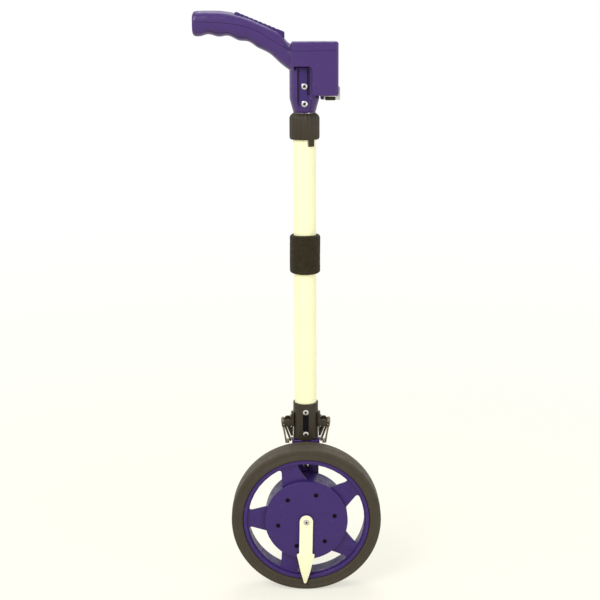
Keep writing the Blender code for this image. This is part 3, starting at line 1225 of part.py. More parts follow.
lower_shell = head_block("lower_shell")
neck_form = turned("neck_form", [
    (0, STEP_Z + BITE), (NECK_RADIUS - BOX_EDGE, STEP_Z + BITE), (NECK_RADIUS, STEP_Z - BOX_EDGE),
    (NECK_RADIUS, NECK_TAPER_TOP), (NECK_END_RADIUS, NECK_BOTTOM), (0, NECK_BOTTOM)], TUBE_SIDES, None,
    (0, POLE_Y, 0), collection=cutters)
cut(lower_shell, as_cutter(neck_form), "UNION")
cut(lower_shell, zone_cutter("lower_zone", 0), "INTERSECT")
cut(lower_shell, box_hollow)
cut(lower_shell, grip_hollow("lower_grip_hollow"))
bush_seat = upper_bush_bottom - GAP * 2
cut_with(lower_shell, "neck_bore", rod(TUBE_PASSAGE, NECK_BOTTOM - OVERRUN, bush_seat, TUBE_SIDES, "Z",
                                       (0, POLE_Y)))
cut_with(lower_shell, "gear_bore", rod(GEAR_BORE, bush_seat - BITE, hollow_floor + OVERRUN, TUBE_SIDES, "Z",
                                       (0, POLE_Y)))
neck_front = POLE_Y - NECK_RADIUS
neck_floor = POLE_Y - NECK_GROOVE_FLOOR
cut_with(lower_shell, "neck_groove", block((NECK_GROOVE_LEFT, neck_front - OVERRUN, NECK_GROOVE_BOTTOM),
                                           (NECK_GROOVE_RIGHT, neck_floor, STEP_Z - BOX_EDGE)))
cut_with(lower_shell, "neck_screw_ways", together(*[
    rod(SCREW_SHANK + GAP, neck_front - OVERRUN, POLE_Y, TINY_SIDES, "Y", (0, z)) for z in NECK_SCREW_ZS]))
neck_screw_length = NECK_GROOVE_FLOOR - (INNER_TUBE_RADIUS - TUBE_WALL)
for name, z in zip(("neck_screw_lower", "neck_screw_upper"), NECK_SCREW_ZS):
    round_screw(name, SCREW_HEAD, SCREW_HEAD_HEIGHT, SCREW_SHANK, neck_screw_length,
                (0, neck_floor - SEAT, z), (0, 1, 0), steel, head_slide)

upper_shell = head_block("upper_shell")
cut(upper_shell, zone_cutter("lower_zone_raised", GAP))
cut(upper_shell, box_hollow)
upper_hollow = grip_hollow("upper_grip_hollow")
cut(upper_shell, upper_hollow)

# Thumb lever in its pocket; the shell is solid round the pocket

thumb_slope = math.tan(THUMB_SLOPE)
thumb_back_z = grip_z(GRIP_TOP_SHARES, (BOX_BACK - THUMB_BACK) / GRIP_REACH) + THUMB_PROUD
thumb_lug_bottom = thumb_back_z - THUMB_LUG_HEIGHT
thumb_pivot = Vector((THUMB_BACK + THUMB_PIN_INSET, thumb_lug_bottom + THUMB_PIN_RISE))
thumb_length = (THUMB_FRONT - THUMB_BACK) / math.cos(THUMB_SLOPE)
thumb_turn = math.atan2(THUMB_TRAVEL, THUMB_FRONT - thumb_pivot.x)
thumb_axis = axis_empty("thumb_axis", (thumb_pivot.x, POLE_Y, thumb_pivot.y), head_slide)


def thumb_under(x):
    """Height of the lever's underside."""
    return thumb_back_z - THUMB_THICKNESS / math.cos(THUMB_SLOPE) - (x - THUMB_BACK) * thumb_slope


cut_with(upper_hollow, "thumb_block", block(
    (THUMB_BACK - THUMB_BLOCK_MARGIN, POLE_Y - BOX_HALF_DEPTH, GRIP_LOW),
    (THUMB_FRONT - THUMB_BLOCK_MARGIN * 2, POLE_Y + BOX_HALF_DEPTH, GRIP_LOW + GRIP_RISE)))
pocket_back = THUMB_BACK - GAP * 2
pocket_lug = THUMB_BACK + THUMB_LUG_LENGTH + GAP * 2
pocket_front = THUMB_FRONT + BITE
pocket_floor = thumb_lug_bottom - GAP * 2
above = thumb_back_z + OVERRUN


def pocket_z(x):
    """Height of the pocket's floor: just under the lever when it is pressed home."""
    pressed = math.tan(THUMB_SLOPE + thumb_turn)
    return thumb_under(thumb_pivot.x) - GAP * 2 - (x - thumb_pivot.x) * pressed


pocket = [(pocket_back, above), (pocket_back, pocket_floor), (pocket_lug, pocket_floor),
          (pocket_lug, pocket_z(pocket_lug)), (pocket_front, pocket_z(pocket_front)), (pocket_front, above)]
cut_with(upper_shell, "thumb_pocket", side_outline([pocket], POLE_Y, THUMB_HALF_WIDTH + GAP))
cut_with(upper_shell, "thumb_pin_hole", rod(THUMB_PIN_RADIUS + GAP, POLE_Y - THUMB_PIN_HALF_LENGTH - GAP,
                                            POLE_Y + THUMB_PIN_HALF_LENGTH + GAP, TINY_SIDES, "Y",
                                            tuple(thumb_pivot)))

down_bar = Vector((math.cos(THUMB_SLOPE), -math.sin(THUMB_SLOPE)))
into_bar = Vector((-math.sin(THUMB_SLOPE), -math.cos(THUMB_SLOPE)))
thumb_top = Vector((THUMB_BACK, thumb_back_z))
thumb_points = [thumb_top + into_bar * THUMB_EDGE, thumb_top + down_bar * THUMB_EDGE]
for k in range(THUMB_RIB_COUNT):
    groove = thumb_top + down_bar * (THUMB_RIB_START + THUMB_RIB_PITCH * k)
    width = THUMB_RIB_PITCH * THUMB_GROOVE_SHARE
    thumb_points += [groove, groove + down_bar * THUMB_RIB_DEPTH + into_bar * THUMB_RIB_DEPTH,
                     groove + down_bar * (width - THUMB_RIB_DEPTH) + into_bar * THUMB_RIB_DEPTH,
                     groove + down_bar * width]
front_top = thumb_top + down_bar * thumb_length
front_low = front_top + into_bar * THUMB_THICKNESS
thumb_points += [front_top - down_bar * THUMB_EDGE, front_top + into_bar * THUMB_EDGE,
                 front_low - into_bar * THUMB_EDGE, front_low - down_bar * THUMB_EDGE]
lug_x = THUMB_BACK + THUMB_LUG_LENGTH
thumb_points += [Vector((lug_x, thumb_under(lug_x))), Vector((lug_x, thumb_lug_bottom)),
                 Vector((THUMB_BACK, thumb_lug_bottom)), Vector((THUMB_BACK, thumb_back_z - THUMB_EDGE * 2))]
thumb_lever = add_object("thumb_lever", side_outline([[tuple(point) for point in thumb_points]], POLE_Y,
                                                     THUMB_HALF_WIDTH), finish=purple, parent=thumb_axis)
cut_with(thumb_lever, "thumb_trunnions", rod(THUMB_PIN_RADIUS, POLE_Y - THUMB_PIN_HALF_LENGTH,
                                             POLE_Y + THUMB_PIN_HALF_LENGTH, TINY_SIDES, "Y",
                                             tuple(thumb_pivot)), "UNION")

# Screws that hold the two shells together, from below

head_recesses, shank_ways, shank_ends = [], [], []
for word, share in zip(("front", "rear"), SHELL_SCREW_SHARES):
    x = grip_x(share)
    seat = grip_bottom(share) + SHELL_SCREW_SINK
    end = grip_z(GRIP_LINE_SHARES, share) + SHELL_SCREW_BITE
    head_recesses.append(rod(SHELL_SCREW_HEAD + GAP, seat - SHELL_SCREW_SINK * 2, seat, TINY_SIDES, "Z",
                             (x, POLE_Y)))
    shank_ways.append(rod(SHELL_SCREW_SHANK + GAP, seat - BITE, end, TINY_SIDES, "Z", (x, POLE_Y)))
    shank_ends.append(rod(SHELL_SCREW_SHANK + GAP, seat - BITE, end + GAP, TINY_SIDES, "Z", (x, POLE_Y)))
    round_screw(f"grip_screw_{word}", SHELL_SCREW_HEAD, SHELL_SCREW_HEAD_HEIGHT, SHELL_SCREW_SHANK,
                end - seat, (x, POLE_Y, seat - SEAT), (0, 0, 1), steel, head_slide)
cut_with(lower_shell, "grip_screw_recesses", together(*head_recesses))
cut_with(lower_shell, "grip_screw_ways", together(*shank_ways))
cut_with(upper_shell, "grip_screw_ends", together(*shank_ends))

# Counter: frame, cross axle, drum axle, five drums and the window over them

frame_back = FRAME_BACK_Y + FRAME_THICKNESS
frame_front_x = DRUM_AXLE_X + DRUM_RADIUS
frame_low = hollow_floor + GAP
frame_step = TUBE_PASSAGE + BOX_WALL + GAP
frame_outline = [(FRAME_BACK_X, FRAME_TOP), (frame_front_x, FRAME_TOP), (frame_front_x, FRAME_BASE_Z),
                 (frame_step, FRAME_BASE_Z), (frame_step, frame_low), (FRAME_BACK_X, frame_low)]
frame_middle = (FRAME_FRONT + frame_back) / 2
counter_frame = add_object("counter_frame", side_outline([frame_outline], frame_middle,
                                                         (frame_back - FRAME_FRONT) / 2), finish=steel,
                           parent=head_slide, smooth=False)
cut_with(counter_frame, "frame_room", block(
    (FRAME_BACK_X - OVERRUN, FRAME_FRONT + FRAME_THICKNESS, FRAME_BASE_Z + FRAME_THICKNESS),
    (frame_front_x + OVERRUN, FRAME_BACK_Y, FRAME_TOP + OVERRUN)))
cut_with(counter_frame, "frame_bores", together(*[
    rod(CROSS_AXLE_RADIUS + GAP, FRAME_FRONT - OVERRUN, frame_back + OVERRUN, TINY_SIDES, "Y", (x, COUNTER_Z))
    for x in (0, DRUM_AXLE_X)]))

cross_gear_y = POLE_Y + BEVEL_DISTANCE
cross_axle = bevel_gear("cross_axle", 0, math.radians(-90) + math.pi / BEVEL_TEETH,
                        (0, cross_gear_y, COUNTER_Z), (math.radians(90), 0, 0), brass, cross_axis,
                        [(BEVEL_HUB, -BEVEL_HUB_LENGTH / 2, BITE),
                         (CROSS_AXLE_RADIUS, cross_gear_y - frame_back, cross_gear_y - FRAME_FRONT)])
pinion_y = COUNTER_GEAR_Y + COUNTER_GEAR_FACE / 2
pinion_outline = tooth_outline(PINION_TEETH, PINION_TEETH * COUNTER_MODULE / 2, 0)
pinion_bm = side_outline([pinion_outline], pinion_y, COUNTER_GEAR_FACE / 2)
bmesh.ops.translate(pinion_bm, vec=(0, 0, COUNTER_Z), verts=pinion_bm.verts)
cut_with(cross_axle, "pinion_form", pinion_bm, "UNION")

drum_axle = add_object("drum_axle", rod(CROSS_AXLE_RADIUS, FRAME_FRONT, frame_back, TINY_SIDES, "Y",
                                        (DRUM_AXLE_X, COUNTER_Z)), finish=brass, parent=drum_axis)
counter_gear_outline = tooth_outline(COUNTER_GEAR_TEETH, COUNTER_GEAR_TEETH * COUNTER_MODULE / 2,
                                     math.pi + math.pi / COUNTER_GEAR_TEETH)
gear_bm = side_outline([counter_gear_outline], pinion_y, COUNTER_GEAR_FACE / 2)
bmesh.ops.translate(gear_bm, vec=(DRUM_AXLE_X, 0, COUNTER_Z), verts=gear_bm.verts)
cut_with(drum_axle, "counter_gear_form", gear_bm, "UNION")
drum_front = FRAME_FRONT + FRAME_THICKNESS + DRUM_GAP
for k in range(DRUM_COUNT):
    front = drum_front + k * (DRUM_WIDTH + DRUM_GAP)
    place = (DRUM_AXLE_X, front, COUNTER_Z)
    hang = drum_axis if k == 0 else axis_empty(f"drum_axis_{k + 1}", (DRUM_AXLE_X, front, COUNTER_Z),
                                               head_slide)
    turned(f"number_drum_{k + 1}", ring_profile(CROSS_AXLE_RADIUS + GAP, DRUM_RADIUS, 0, DRUM_WIDTH),
           DRUM_SIDES, red if k == 0 else white, place, "Y", hang)

drum_end = drum_front + DRUM_COUNT * (DRUM_WIDTH + DRUM_GAP)
window_low, window_high = drum_front - WINDOW_MARGIN, drum_end + WINDOW_MARGIN
window_floor = BOX_TOP - SEAT * 2 - WINDOW_THICKNESS
cut_with(upper_shell, "window_recess", block(
    (DRUM_AXLE_X - WINDOW_HALF_X - GAP, window_low - GAP, window_floor),
    (DRUM_AXLE_X + WINDOW_HALF_X + GAP, window_high + GAP, BOX_TOP + OVERRUN)))
cut_with(upper_shell, "window_hole", block(
    (DRUM_AXLE_X - WINDOW_HALF_X + WINDOW_MARGIN, window_low + WINDOW_MARGIN, window_floor - OVERRUN),
    (DRUM_AXLE_X + WINDOW_HALF_X - WINDOW_MARGIN, window_high - WINDOW_MARGIN, BOX_TOP)))
add_object("counter_window", block((DRUM_AXLE_X - WINDOW_HALF_X, window_low,
                                    BOX_TOP - SEAT - WINDOW_THICKNESS),
                                   (DRUM_AXLE_X + WINDOW_HALF_X, window_high, BOX_TOP - SEAT)),
           finish=clear, parent=head_slide, smooth=False)

# Reset lever under the box, its pad and its ears

reset_axis = axis_empty("reset_axis", (RESET_PIVOT_X, POLE_Y, RESET_PIVOT_Z), head_slide)
reset_pivot = (RESET_PIVOT_X, RESET_PIVOT_Z)
ear_inner = RESET_HALF_DEPTH + GAP
ear_middle = ear_inner + RESET_EAR_THICKNESS / 2
ear_outline = arc(reset_pivot, RESET_EAR_RADIUS, -math.pi, 0, SMALL_ROUND_STEPS)
ear_outline += [(RESET_PIVOT_X + RESET_EAR_RADIUS, BOX_BOTTOM + BITE),
                (RESET_PIVOT_X - RESET_EAR_RADIUS, BOX_BOTTOM + BITE)]
ears = together(*[side_outline([ear_outline], POLE_Y + way * ear_middle, RESET_EAR_THICKNESS / 2)
                  for way in (-1, 1)])
cut_with(lower_shell, "reset_ears", ears, "UNION")
cut_with(lower_shell, "reset_pin_hole",
         rod(RESET_PIN_RADIUS + GAP, POLE_Y - ear_inner - RESET_EAR_THICKNESS - OVERRUN,
             POLE_Y + ear_inner + RESET_EAR_THICKNESS + OVERRUN, TINY_SIDES, "Y", reset_pivot))
reset_low = RESET_PIVOT_Z - RESET_BARREL
reset_top = RESET_PIVOT_Z + RESET_BARREL
tab_front = RESET_REACH + RESET_SHEET
reset_outline = arc(reset_pivot, RESET_BARREL, math.pi / 2, math.pi * 3 / 2, SMALL_ROUND_STEPS)
reset_outline += [(tab_front, reset_low), (tab_front, RESET_TAB_TOP), (RESET_REACH, RESET_TAB_TOP),
                  (RESET_REACH, reset_top)]
reset_lever = add_object("reset_lever", side_outline([reset_outline], POLE_Y, RESET_HALF_DEPTH), finish=steel,
                         parent=reset_axis)
sheet_under = reset_top - RESET_SHEET
flange = RESET_HALF_DEPTH - RESET_SHEET
pad_end = RESET_PAD_BACK + RESET_PAD_LENGTH
cut_with(reset_lever, "reset_channel",
         block((RESET_PIVOT_X + RESET_BARREL, POLE_Y - flange, reset_low - OVERRUN),
               (RESET_REACH, POLE_Y + flange, sheet_under)))
cut_with(reset_lever, "reset_pad_seat", block((RESET_PAD_BACK - GAP, POLE_Y - RESET_HALF_DEPTH - OVERRUN,
                                               reset_low - OVERRUN),
                                              (pad_end + GAP, POLE_Y + RESET_HALF_DEPTH + OVERRUN,
                                               sheet_under)))
cut_with(reset_lever, "reset_trunnions", rod(RESET_PIN_RADIUS, POLE_Y - ear_inner - RESET_EAR_THICKNESS,
                                             POLE_Y + ear_inner + RESET_EAR_THICKNESS, TINY_SIDES, "Y",
                                             reset_pivot), "UNION")
reset_pad = add_object("reset_pad", block((RESET_PAD_BACK, POLE_Y - RESET_PAD_HALF_DEPTH, RESET_PAD_BOTTOM),
                                          (pad_end, POLE_Y + RESET_PAD_HALF_DEPTH, sheet_under - GAP)),
                       finish=black, parent=reset_axis)
round_edges(reset_pad, RESET_PAD_EDGE)
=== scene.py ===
# %% [markdown]
# A measuring wheel, shown collapsed and upright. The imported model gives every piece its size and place,
# and this lesson gives each one its form and finish. The model's box is kept, because nothing made here
# may grow out of it.

# %% Load the model
import json
import math

import bmesh
import bpy
from mathutils import Matrix, Vector


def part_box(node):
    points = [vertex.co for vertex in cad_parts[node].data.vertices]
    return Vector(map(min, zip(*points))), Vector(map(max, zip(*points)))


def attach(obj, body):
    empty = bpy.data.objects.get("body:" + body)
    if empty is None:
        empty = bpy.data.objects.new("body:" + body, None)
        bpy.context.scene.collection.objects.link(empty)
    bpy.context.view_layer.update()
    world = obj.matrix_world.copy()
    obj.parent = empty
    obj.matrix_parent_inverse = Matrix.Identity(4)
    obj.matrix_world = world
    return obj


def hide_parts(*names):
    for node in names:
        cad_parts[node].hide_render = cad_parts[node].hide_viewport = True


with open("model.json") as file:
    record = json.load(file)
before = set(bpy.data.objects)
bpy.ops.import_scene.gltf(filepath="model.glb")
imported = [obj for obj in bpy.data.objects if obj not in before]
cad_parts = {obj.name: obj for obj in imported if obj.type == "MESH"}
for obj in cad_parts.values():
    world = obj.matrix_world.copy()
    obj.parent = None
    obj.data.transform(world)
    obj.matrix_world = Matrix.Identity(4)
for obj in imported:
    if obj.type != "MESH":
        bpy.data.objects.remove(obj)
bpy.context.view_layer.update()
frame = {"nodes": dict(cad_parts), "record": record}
print("nodes:", len(frame["nodes"]), "pieces of the real object")

# %% [markdown]
# Most values come from the model itself: a round piece's radius is read from its node's box, the axle's
# height is half the tyre's diameter, and the pole stands at the middle of its tube. Shapes are given in
# millimetres, as on a drawing, and the helpers that make them turn those into metres.

# %% Places that everything else is measured from
MM = 0.001


def box(node):
    return [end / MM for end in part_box(node)]


def middle_of(node):
    low, high = box(node)
    return (low + high) / 2


def half_size(node, axis=0):
    low, high = box(node)
    return (high[axis] - low[axis]) / 2


def metres(place):
    return Vector([value * MM for value in place])


tyre_radius = half_size("tyre", 2)
axle_z = middle_of("tyre").z
pole_y = middle_of("outer_tube").y
ON_AXLE = (0, 0, axle_z), (0, 1, 0)
ON_POLE = (0, pole_y, 0), (0, 0, 1)
body_of_node = {}
for body, members in frame["record"]["behaviour"]["bodies"].items():
    body_of_node.update({node: body for node in members})
print("axle height in mm:", round(axle_z, 2), "pole behind the wheel's middle:", round(pole_y, 2))

# %% [markdown]
# The camera comes first, because every later look is judged through it. It stands at the height of the
# handle and looks down 13 degrees through a long lens, so the pole stays nearly straight and the top of
# the box just shows. The slight roll is the photographer's.

# %% Camera
CAMERA_PLACE = (-0.0055, -1.201, 0.594)
CAMERA_PITCH = math.radians(13)
CAMERA_ROLL = math.radians(-0.3)
bpy.ops.object.camera_add(location=CAMERA_PLACE)
camera = bpy.context.object
tilt = Matrix.Rotation(math.pi / 2 - CAMERA_PITCH, 3, "X") @ Matrix.Rotation(CAMERA_ROLL, 3, "Z")
camera.rotation_euler = tilt.to_euler()
camera.data.lens = 72
bpy.context.scene.camera = camera
bpy.context.scene.view_settings.view_transform = "Standard"

# %% [markdown]
# The light is a white tent: a pale world all round, one large soft lamp above and to the left, a weaker
# one on the right, and one from above and behind that lights the tops.

# %% Lamps
LAMPS = (("window_light", (-0.9, -1.2, 1.5), 0.3, 0.9, 19.5), ("fill_light", (1.2, -1.0, 0.6), 0.3, 0.8, 6),
         ("top_light", (0.1, 0.5, 1.6), 0.4, 0.8, 8))
for name, place, aim_height, size, power in LAMPS:
    bpy.ops.object.light_add(type="AREA", location=place)
    lamp = bpy.context.object
    lamp.name = name
    lamp.data.size = size
    lamp.data.energy = power
    aim = Vector((0, 0, aim_height)) - Vector(place)
    lamp.rotation_euler = aim.to_track_quat("-Z", "Y").to_euler()
print("lamps:", [name for name, *rest in LAMPS])

# %% [markdown]
# A finish is a tree of nodes. One helper adds a node and fills its inputs, whether with a number, a colour
# or another node's output, and the others are the patterns that every finish here is built from.

# %% Helpers for finishes
def feed(tree, node, inputs):
    """Gives a node's inputs their values or links."""
    for key, value in inputs.items():
        socket = node.inputs[key]
        if isinstance(value, bpy.types.NodeSocket):
            tree.links.new(value, socket)
        else:
            socket.default_value = (*value, 1) if socket.type == "RGBA" else value
    return node


def add(tree, kind, inputs, **settings):
    node = tree.nodes.new("ShaderNode" + kind)
    for name, value in settings.items():
        setattr(node, name, value)
    return feed(tree, node, inputs)


def noise(tree, scale, detail=3.0, stretch=(1, 1, 1)):
    """Soft clouds, the given number to a metre, drawn out along an axis by a small stretch."""
    place = add(tree, "TexCoord", {}).outputs["Object"]
    mapped = add(tree, "Mapping", {"Vector": place, "Scale": stretch}).outputs[0]
    return add(tree, "TexNoise", {"Vector": mapped, "Scale": scale, "Detail": detail}).outputs["Fac"]


def graded(tree, factor, low, high, start=0.3, end=0.7):
    """The factor stretched so that start gives low and end gives high."""
    return add(tree, "MapRange", {"Value": factor, "From Min": start, "From Max": end, "To Min": low,
                                  "To Max": high}).outputs[0]


def cloudy(tree, scale, detail, low=0, high=1, start=0.3, end=0.7):
    return graded(tree, noise(tree, scale, detail), low, high, start, end)


def times(tree, first, second):
    return add(tree, "Math", {0: first, 1: second}, operation="MULTIPLY").outputs[0]


def two_tone(tree, factor, first, second):
    return add(tree, "Mix", {"Factor": factor, 6: first, 7: second}, data_type="RGBA").outputs[2]


def length(tree, vector):
    return add(tree, "VectorMath", {0: vector}, operation="LENGTH").outputs["Value"]


def add_relief(tree, shader, height, depth):
    """A bump of the given depth in metres, on top of the one that is there."""
    inputs = {"Distance": depth, "Strength": 1.0, "Height": height}
    if shader.inputs["Normal"].is_linked:
        inputs["Normal"] = shader.inputs["Normal"].links[0].from_socket
    feed(tree, shader, {"Normal": add(tree, "Bump", inputs).outputs[0]})


def new_finish(name, **inputs):
    """A finish with its tree and its shader, whose inputs are given with _ for each space."""
    finish = bpy.data.materials.new(name)
    finish.use_nodes = True
    tree = finish.node_tree
    shader = tree.nodes["Principled BSDF"]
    feed(tree, shader, {key.replace("_", " "): value for key, value in inputs.items()})
    return finish, tree, shader


# %% [markdown]
# Light Path tells rays that come from the camera, from gloss or through glass apart from those that carry
# light. The world shows white to the first three and lights the object with plain grey, so the background
# can be white without washing the plastic out.

# %% World
TENT_STRENGTH = 0.62
WHITE = (1, 1, 1)


def seen_directly(tree):
    """1 for rays from the camera, from gloss and through glass, and 0 for the rays that carry light."""
    path = add(tree, "LightPath", {})
    total = path.outputs["Is Camera Ray"]
    for kind in ("Is Glossy Ray", "Is Transmission Ray"):
        total = add(tree, "Math", {0: total, 1: path.outputs[kind]}, operation="MAXIMUM").outputs[0]
    return total


world = bpy.data.worlds.new("white_tent")
bpy.context.scene.world = world
world.use_nodes = True
tent = world.node_tree
lit = feed(tent, tent.nodes["Background"], {"Color": WHITE, "Strength": TENT_STRENGTH})
shown = add(tent, "Background", {"Color": WHITE})
either_way = add(tent, "MixShader", {0: seen_directly(tent), 1: lit.outputs[0], 2: shown.outputs[0]})
feed(tent, tent.nodes["World Output"], {"Surface": either_way.outputs[0]})

# %% [markdown]
# Edges are rubbed. A Bevel node bends the normal near an edge, so where the bent normal and the real one
# differ there is an edge. Noise breaks the line up, because wear is never even.

# %% Rubbed edges
RUB_WIDTH = 0.0007
RUB_SHARE = 0.22


def rubbed_edges(tree):
    """Up to RUB_SHARE along edges, in patches, and 0 on faces."""
    soft = add(tree, "Bevel", {"Radius": RUB_WIDTH}, samples=4).outputs[0]
    real = add(tree, "NewGeometry", {}).outputs["Normal"]
    same = add(tree, "VectorMath", {0: soft, 1: real}, operation="DOT_PRODUCT").outputs["Value"]
    edge = graded(tree, same, RUB_SHARE, 0, 0.86, 0.985)
    return times(tree, edge, cloudy(tree, 240, 4, 0, 1, 0.44, 0.62))


# %% [markdown]
# The purple parts are glossy ABS. Its colour drifts where the melt flowed, the mould's texture breaks up
# the reflections, and handling leaves dull scuffs. The grip is a redder batch than the wheel. The written
# colours are deeper than they look, because the gloss adds the white of the surroundings.

# %% Purple plastic
def glossy_plastic(name, colour, shade, roughness):
    finish, tree, shader = new_finish(name, Coat_Weight=0.1, Coat_Roughness=0.1, IOR=1.46,
                                      Specular_IOR_Level=0.3)
    pale = tuple(channel * 1.6 + 0.03 for channel in colour)
    body_colour = two_tone(tree, cloudy(tree, 22, 3), colour, shade)
    worn = two_tone(tree, rubbed_edges(tree), body_colour, pale)
    dust = times(tree, cloudy(tree, 310, 5, 0, 1, 0.62, 0.8), 0.12)
    scuffs = graded(tree, noise(tree, 90, 6, (1, 1, 5)), roughness * 0.75, roughness * 1.4)
    feed(tree, shader, {"Base Color": two_tone(tree, dust, worn, (0.20, 0.17, 0.24)), "Roughness": scuffs})
    add_relief(tree, shader, noise(tree, 1500, 2), 0.000015)
    add_relief(tree, shader, noise(tree, 60, 2), 0.00006)
    return finish


purple = glossy_plastic("purple_wheel_plastic", (0.038, 0.014, 0.128), (0.033, 0.012, 0.116), 0.42)
purple_grip = glossy_plastic("purple_grip_plastic", (0.054, 0.023, 0.139), (0.048, 0.019, 0.127), 0.3)
# The darkest purple is painted shade, laid on the floors of the neck's side grooves.
groove_painted_shade = glossy_plastic("purple_groove_painted_shade", (0.015, 0.006, 0.052), (0.012, 0.005, 0.044), 0.5)

# %% [markdown]
# The black parts are glass-filled nylon: a warm dark grey with a fine speckle of fibres and greyed edges.
# The drums and their ink are small clean mouldings, and the cream pointer has yellowed unevenly.

# %% Black, cream and white plastic
def matt_plastic(name, colour, roughness, drift=0.85, pale_by=2.4, speckles=420, gloss=0.25):
    finish, tree, shader = new_finish(name, Specular_IOR_Level=gloss)
    shade = tuple(channel * drift for channel in colour)
    pale = tuple(min(1, channel * pale_by + 0.02) for channel in colour)
    tone = times(tree, cloudy(tree, speckles, 5, 0, 1, 0.35, 0.65), cloudy(tree, 30, 2))
    body_colour = two_tone(tree, tone, colour, shade)
    feed(tree, shader, {"Base Color": two_tone(tree, rubbed_edges(tree), body_colour, pale),
                        "Roughness": cloudy(tree, 70, 4, roughness * 0.85, roughness * 1.2)})
    add_relief(tree, shader, noise(tree, 1800, 3), 0.00003)
    return finish


black = matt_plastic("black_nylon", (0.036, 0.028, 0.016), 0.42)
# This black is the hub screws' own finish. It is also laid on screw recesses and on the socket's channel
# floor as painted shade.
black_screw_and_painted_shade = matt_plastic("blackened_screw_and_painted_shade", (0.005, 0.004, 0.006), 0.6, gloss=0.08)
cream = matt_plastic("cream_pointer_plastic", (0.90, 0.89, 0.62), 0.35, 0.96, 1.02, 120)
white = matt_plastic("white_drum_plastic", (0.84, 0.84, 0.80), 0.4, 0.95, 1.02)
red = matt_plastic("red_drum_plastic", (0.50, 0.03, 0.02), 0.4, 0.9, 1.2)
ink = matt_plastic("number_ink", (0.015, 0.015, 0.016), 0.5, 0.8, 1.0)
pale_ink = matt_plastic("pale_number_ink", (0.85, 0.84, 0.80), 0.5, 0.95, 1.0)

# %% [markdown]
# The tyre is hard rubber, dull and brown-grey with dust in its pits. Its tread is paler, partly from wear
# where it meets the ground and partly as a painted highlight of the light the tread catches: the distance
# from the axle tells the tread from the side walls. The collar is a foam sleeve, whose open grain comes
# from the small cells of a Voronoi pattern.

# %% Rubber and foam
def from_axle(tree):
    """How far a point is from the axle's line."""
    place = add(tree, "TexCoord", {}).outputs["Object"]
    moved = add(tree, "Mapping", {"Vector": place, "Location": (0, 0, -axle_z * MM)}).outputs[0]
    return length(tree, add(tree, "Mapping", {"Vector": moved, "Scale": (1, 0, 1)}).outputs[0])


rubber, tree, shader = new_finish("tyre_rubber", Specular_IOR_Level=0.25)
tread = graded(tree, from_axle(tree), 0, 1, (tyre_radius - 1.6) * MM, (tyre_radius - 0.2) * MM)
side_wall = two_tone(tree, cloudy(tree, 45, 5), (0.044, 0.036, 0.024), (0.052, 0.043, 0.029))
# The paler tread is partly wear and partly a painted highlight of the light the band catches.
tread_wear_and_painted_highlight = times(tree, tread, cloudy(tree, 150, 5, 0.45, 0.8))
feed(tree, shader, {"Base Color": two_tone(tree, tread_wear_and_painted_highlight, side_wall, (0.082, 0.068, 0.044)),
                    "Roughness": cloudy(tree, 200, 4, 0.5, 0.75)})
add_relief(tree, shader, noise(tree, 1100, 4), 0.00006)
add_relief(tree, shader, noise(tree, 90, 3), 0.0002)

foam, tree, shader = new_finish("foam_sleeve", Roughness=0.95, Specular_IOR_Level=0.1, Sheen_Weight=0.08)
place = add(tree, "TexCoord", {}).outputs["Object"]
cells = add(tree, "TexVoronoi", {"Vector": place, "Scale": 1000}).outputs["Distance"]
patches = two_tone(tree, noise(tree, 130, 4), (0.012, 0.009, 0.004), (0.034, 0.027, 0.014))
grain = two_tone(tree, graded(tree, cells, 0, 1, 0.0, 0.6), (0.044, 0.035, 0.018), patches)
feed(tree, shader, {"Base Color": grain})
add_relief(tree, shader, cells, 0.0003)
add_relief(tree, shader, noise(tree, 140, 3), 0.0005)

# %% [markdown]
# The pole is drawn aluminium with a pale painted skin, so its fine lines run along it. Screws and springs
# are plated steel, the latch levers are zinc plated in yellow, which goes blotchy, and the bushes are
# turned brass. Metal mostly shows its surroundings, so each gets streaks in its roughness.

# %% Metals and glass
def drawn_metal(name, colour, shade, roughness, stretch, metallic=1.0, blotches=40):
    finish, tree, shader = new_finish(name, Metallic=metallic)
    lines = noise(tree, 700, 4, stretch)
    feed(tree, shader, {"Base Color": two_tone(tree, cloudy(tree, blotches, 4), colour, shade),
                        "Roughness": graded(tree, lines, roughness * 0.7, roughness * 1.4)})
    add_relief(tree, shader, lines, 0.000012)
    return finish


ALONG_POLE = (1, 1, 0.02)
tube_metal = drawn_metal("painted_tube", (0.92, 0.90, 0.585), (0.89, 0.87, 0.565), 0.38, ALONG_POLE, 0.0)
bare_tube = drawn_metal("bare_tube", (0.80, 0.80, 0.78), (0.72, 0.72, 0.70), 0.3, ALONG_POLE)
steel = drawn_metal("plated_steel", (0.66, 0.65, 0.60), (0.54, 0.53, 0.50), 0.26, (1, 0.2, 1), 1.0, 180)
wire = drawn_metal("oiled_wire", (0.30, 0.27, 0.20), (0.20, 0.18, 0.13), 0.42, (1, 0.2, 1), 0.8, 180)
zinc = drawn_metal("yellow_zinc", (0.40, 0.33, 0.18), (0.26, 0.21, 0.12), 0.4, (1, 1, 0.1), 0.75, 200)
brass = drawn_metal("turned_brass", (0.62, 0.47, 0.20), (0.52, 0.38, 0.16), 0.32, (0.2, 1, 1))
glass, tree, shader = new_finish("clear_window", Base_Color=(0.96, 0.98, 1), Transmission_Weight=1, IOR=1.49)
feed(tree, shader, {"Roughness": cloudy(tree, 150, 5, 0.02, 0.08)})
print("finishes:", len(bpy.data.materials))

# %% [markdown]
# An operator works on whatever is selected, and the model arrives selected, so these helpers clear the
# selection first. A finished piece stays at the world's origin with its shape in its mesh, which is where
# every imported node has it, and gets its finish and its node's body, and that node is hidden.

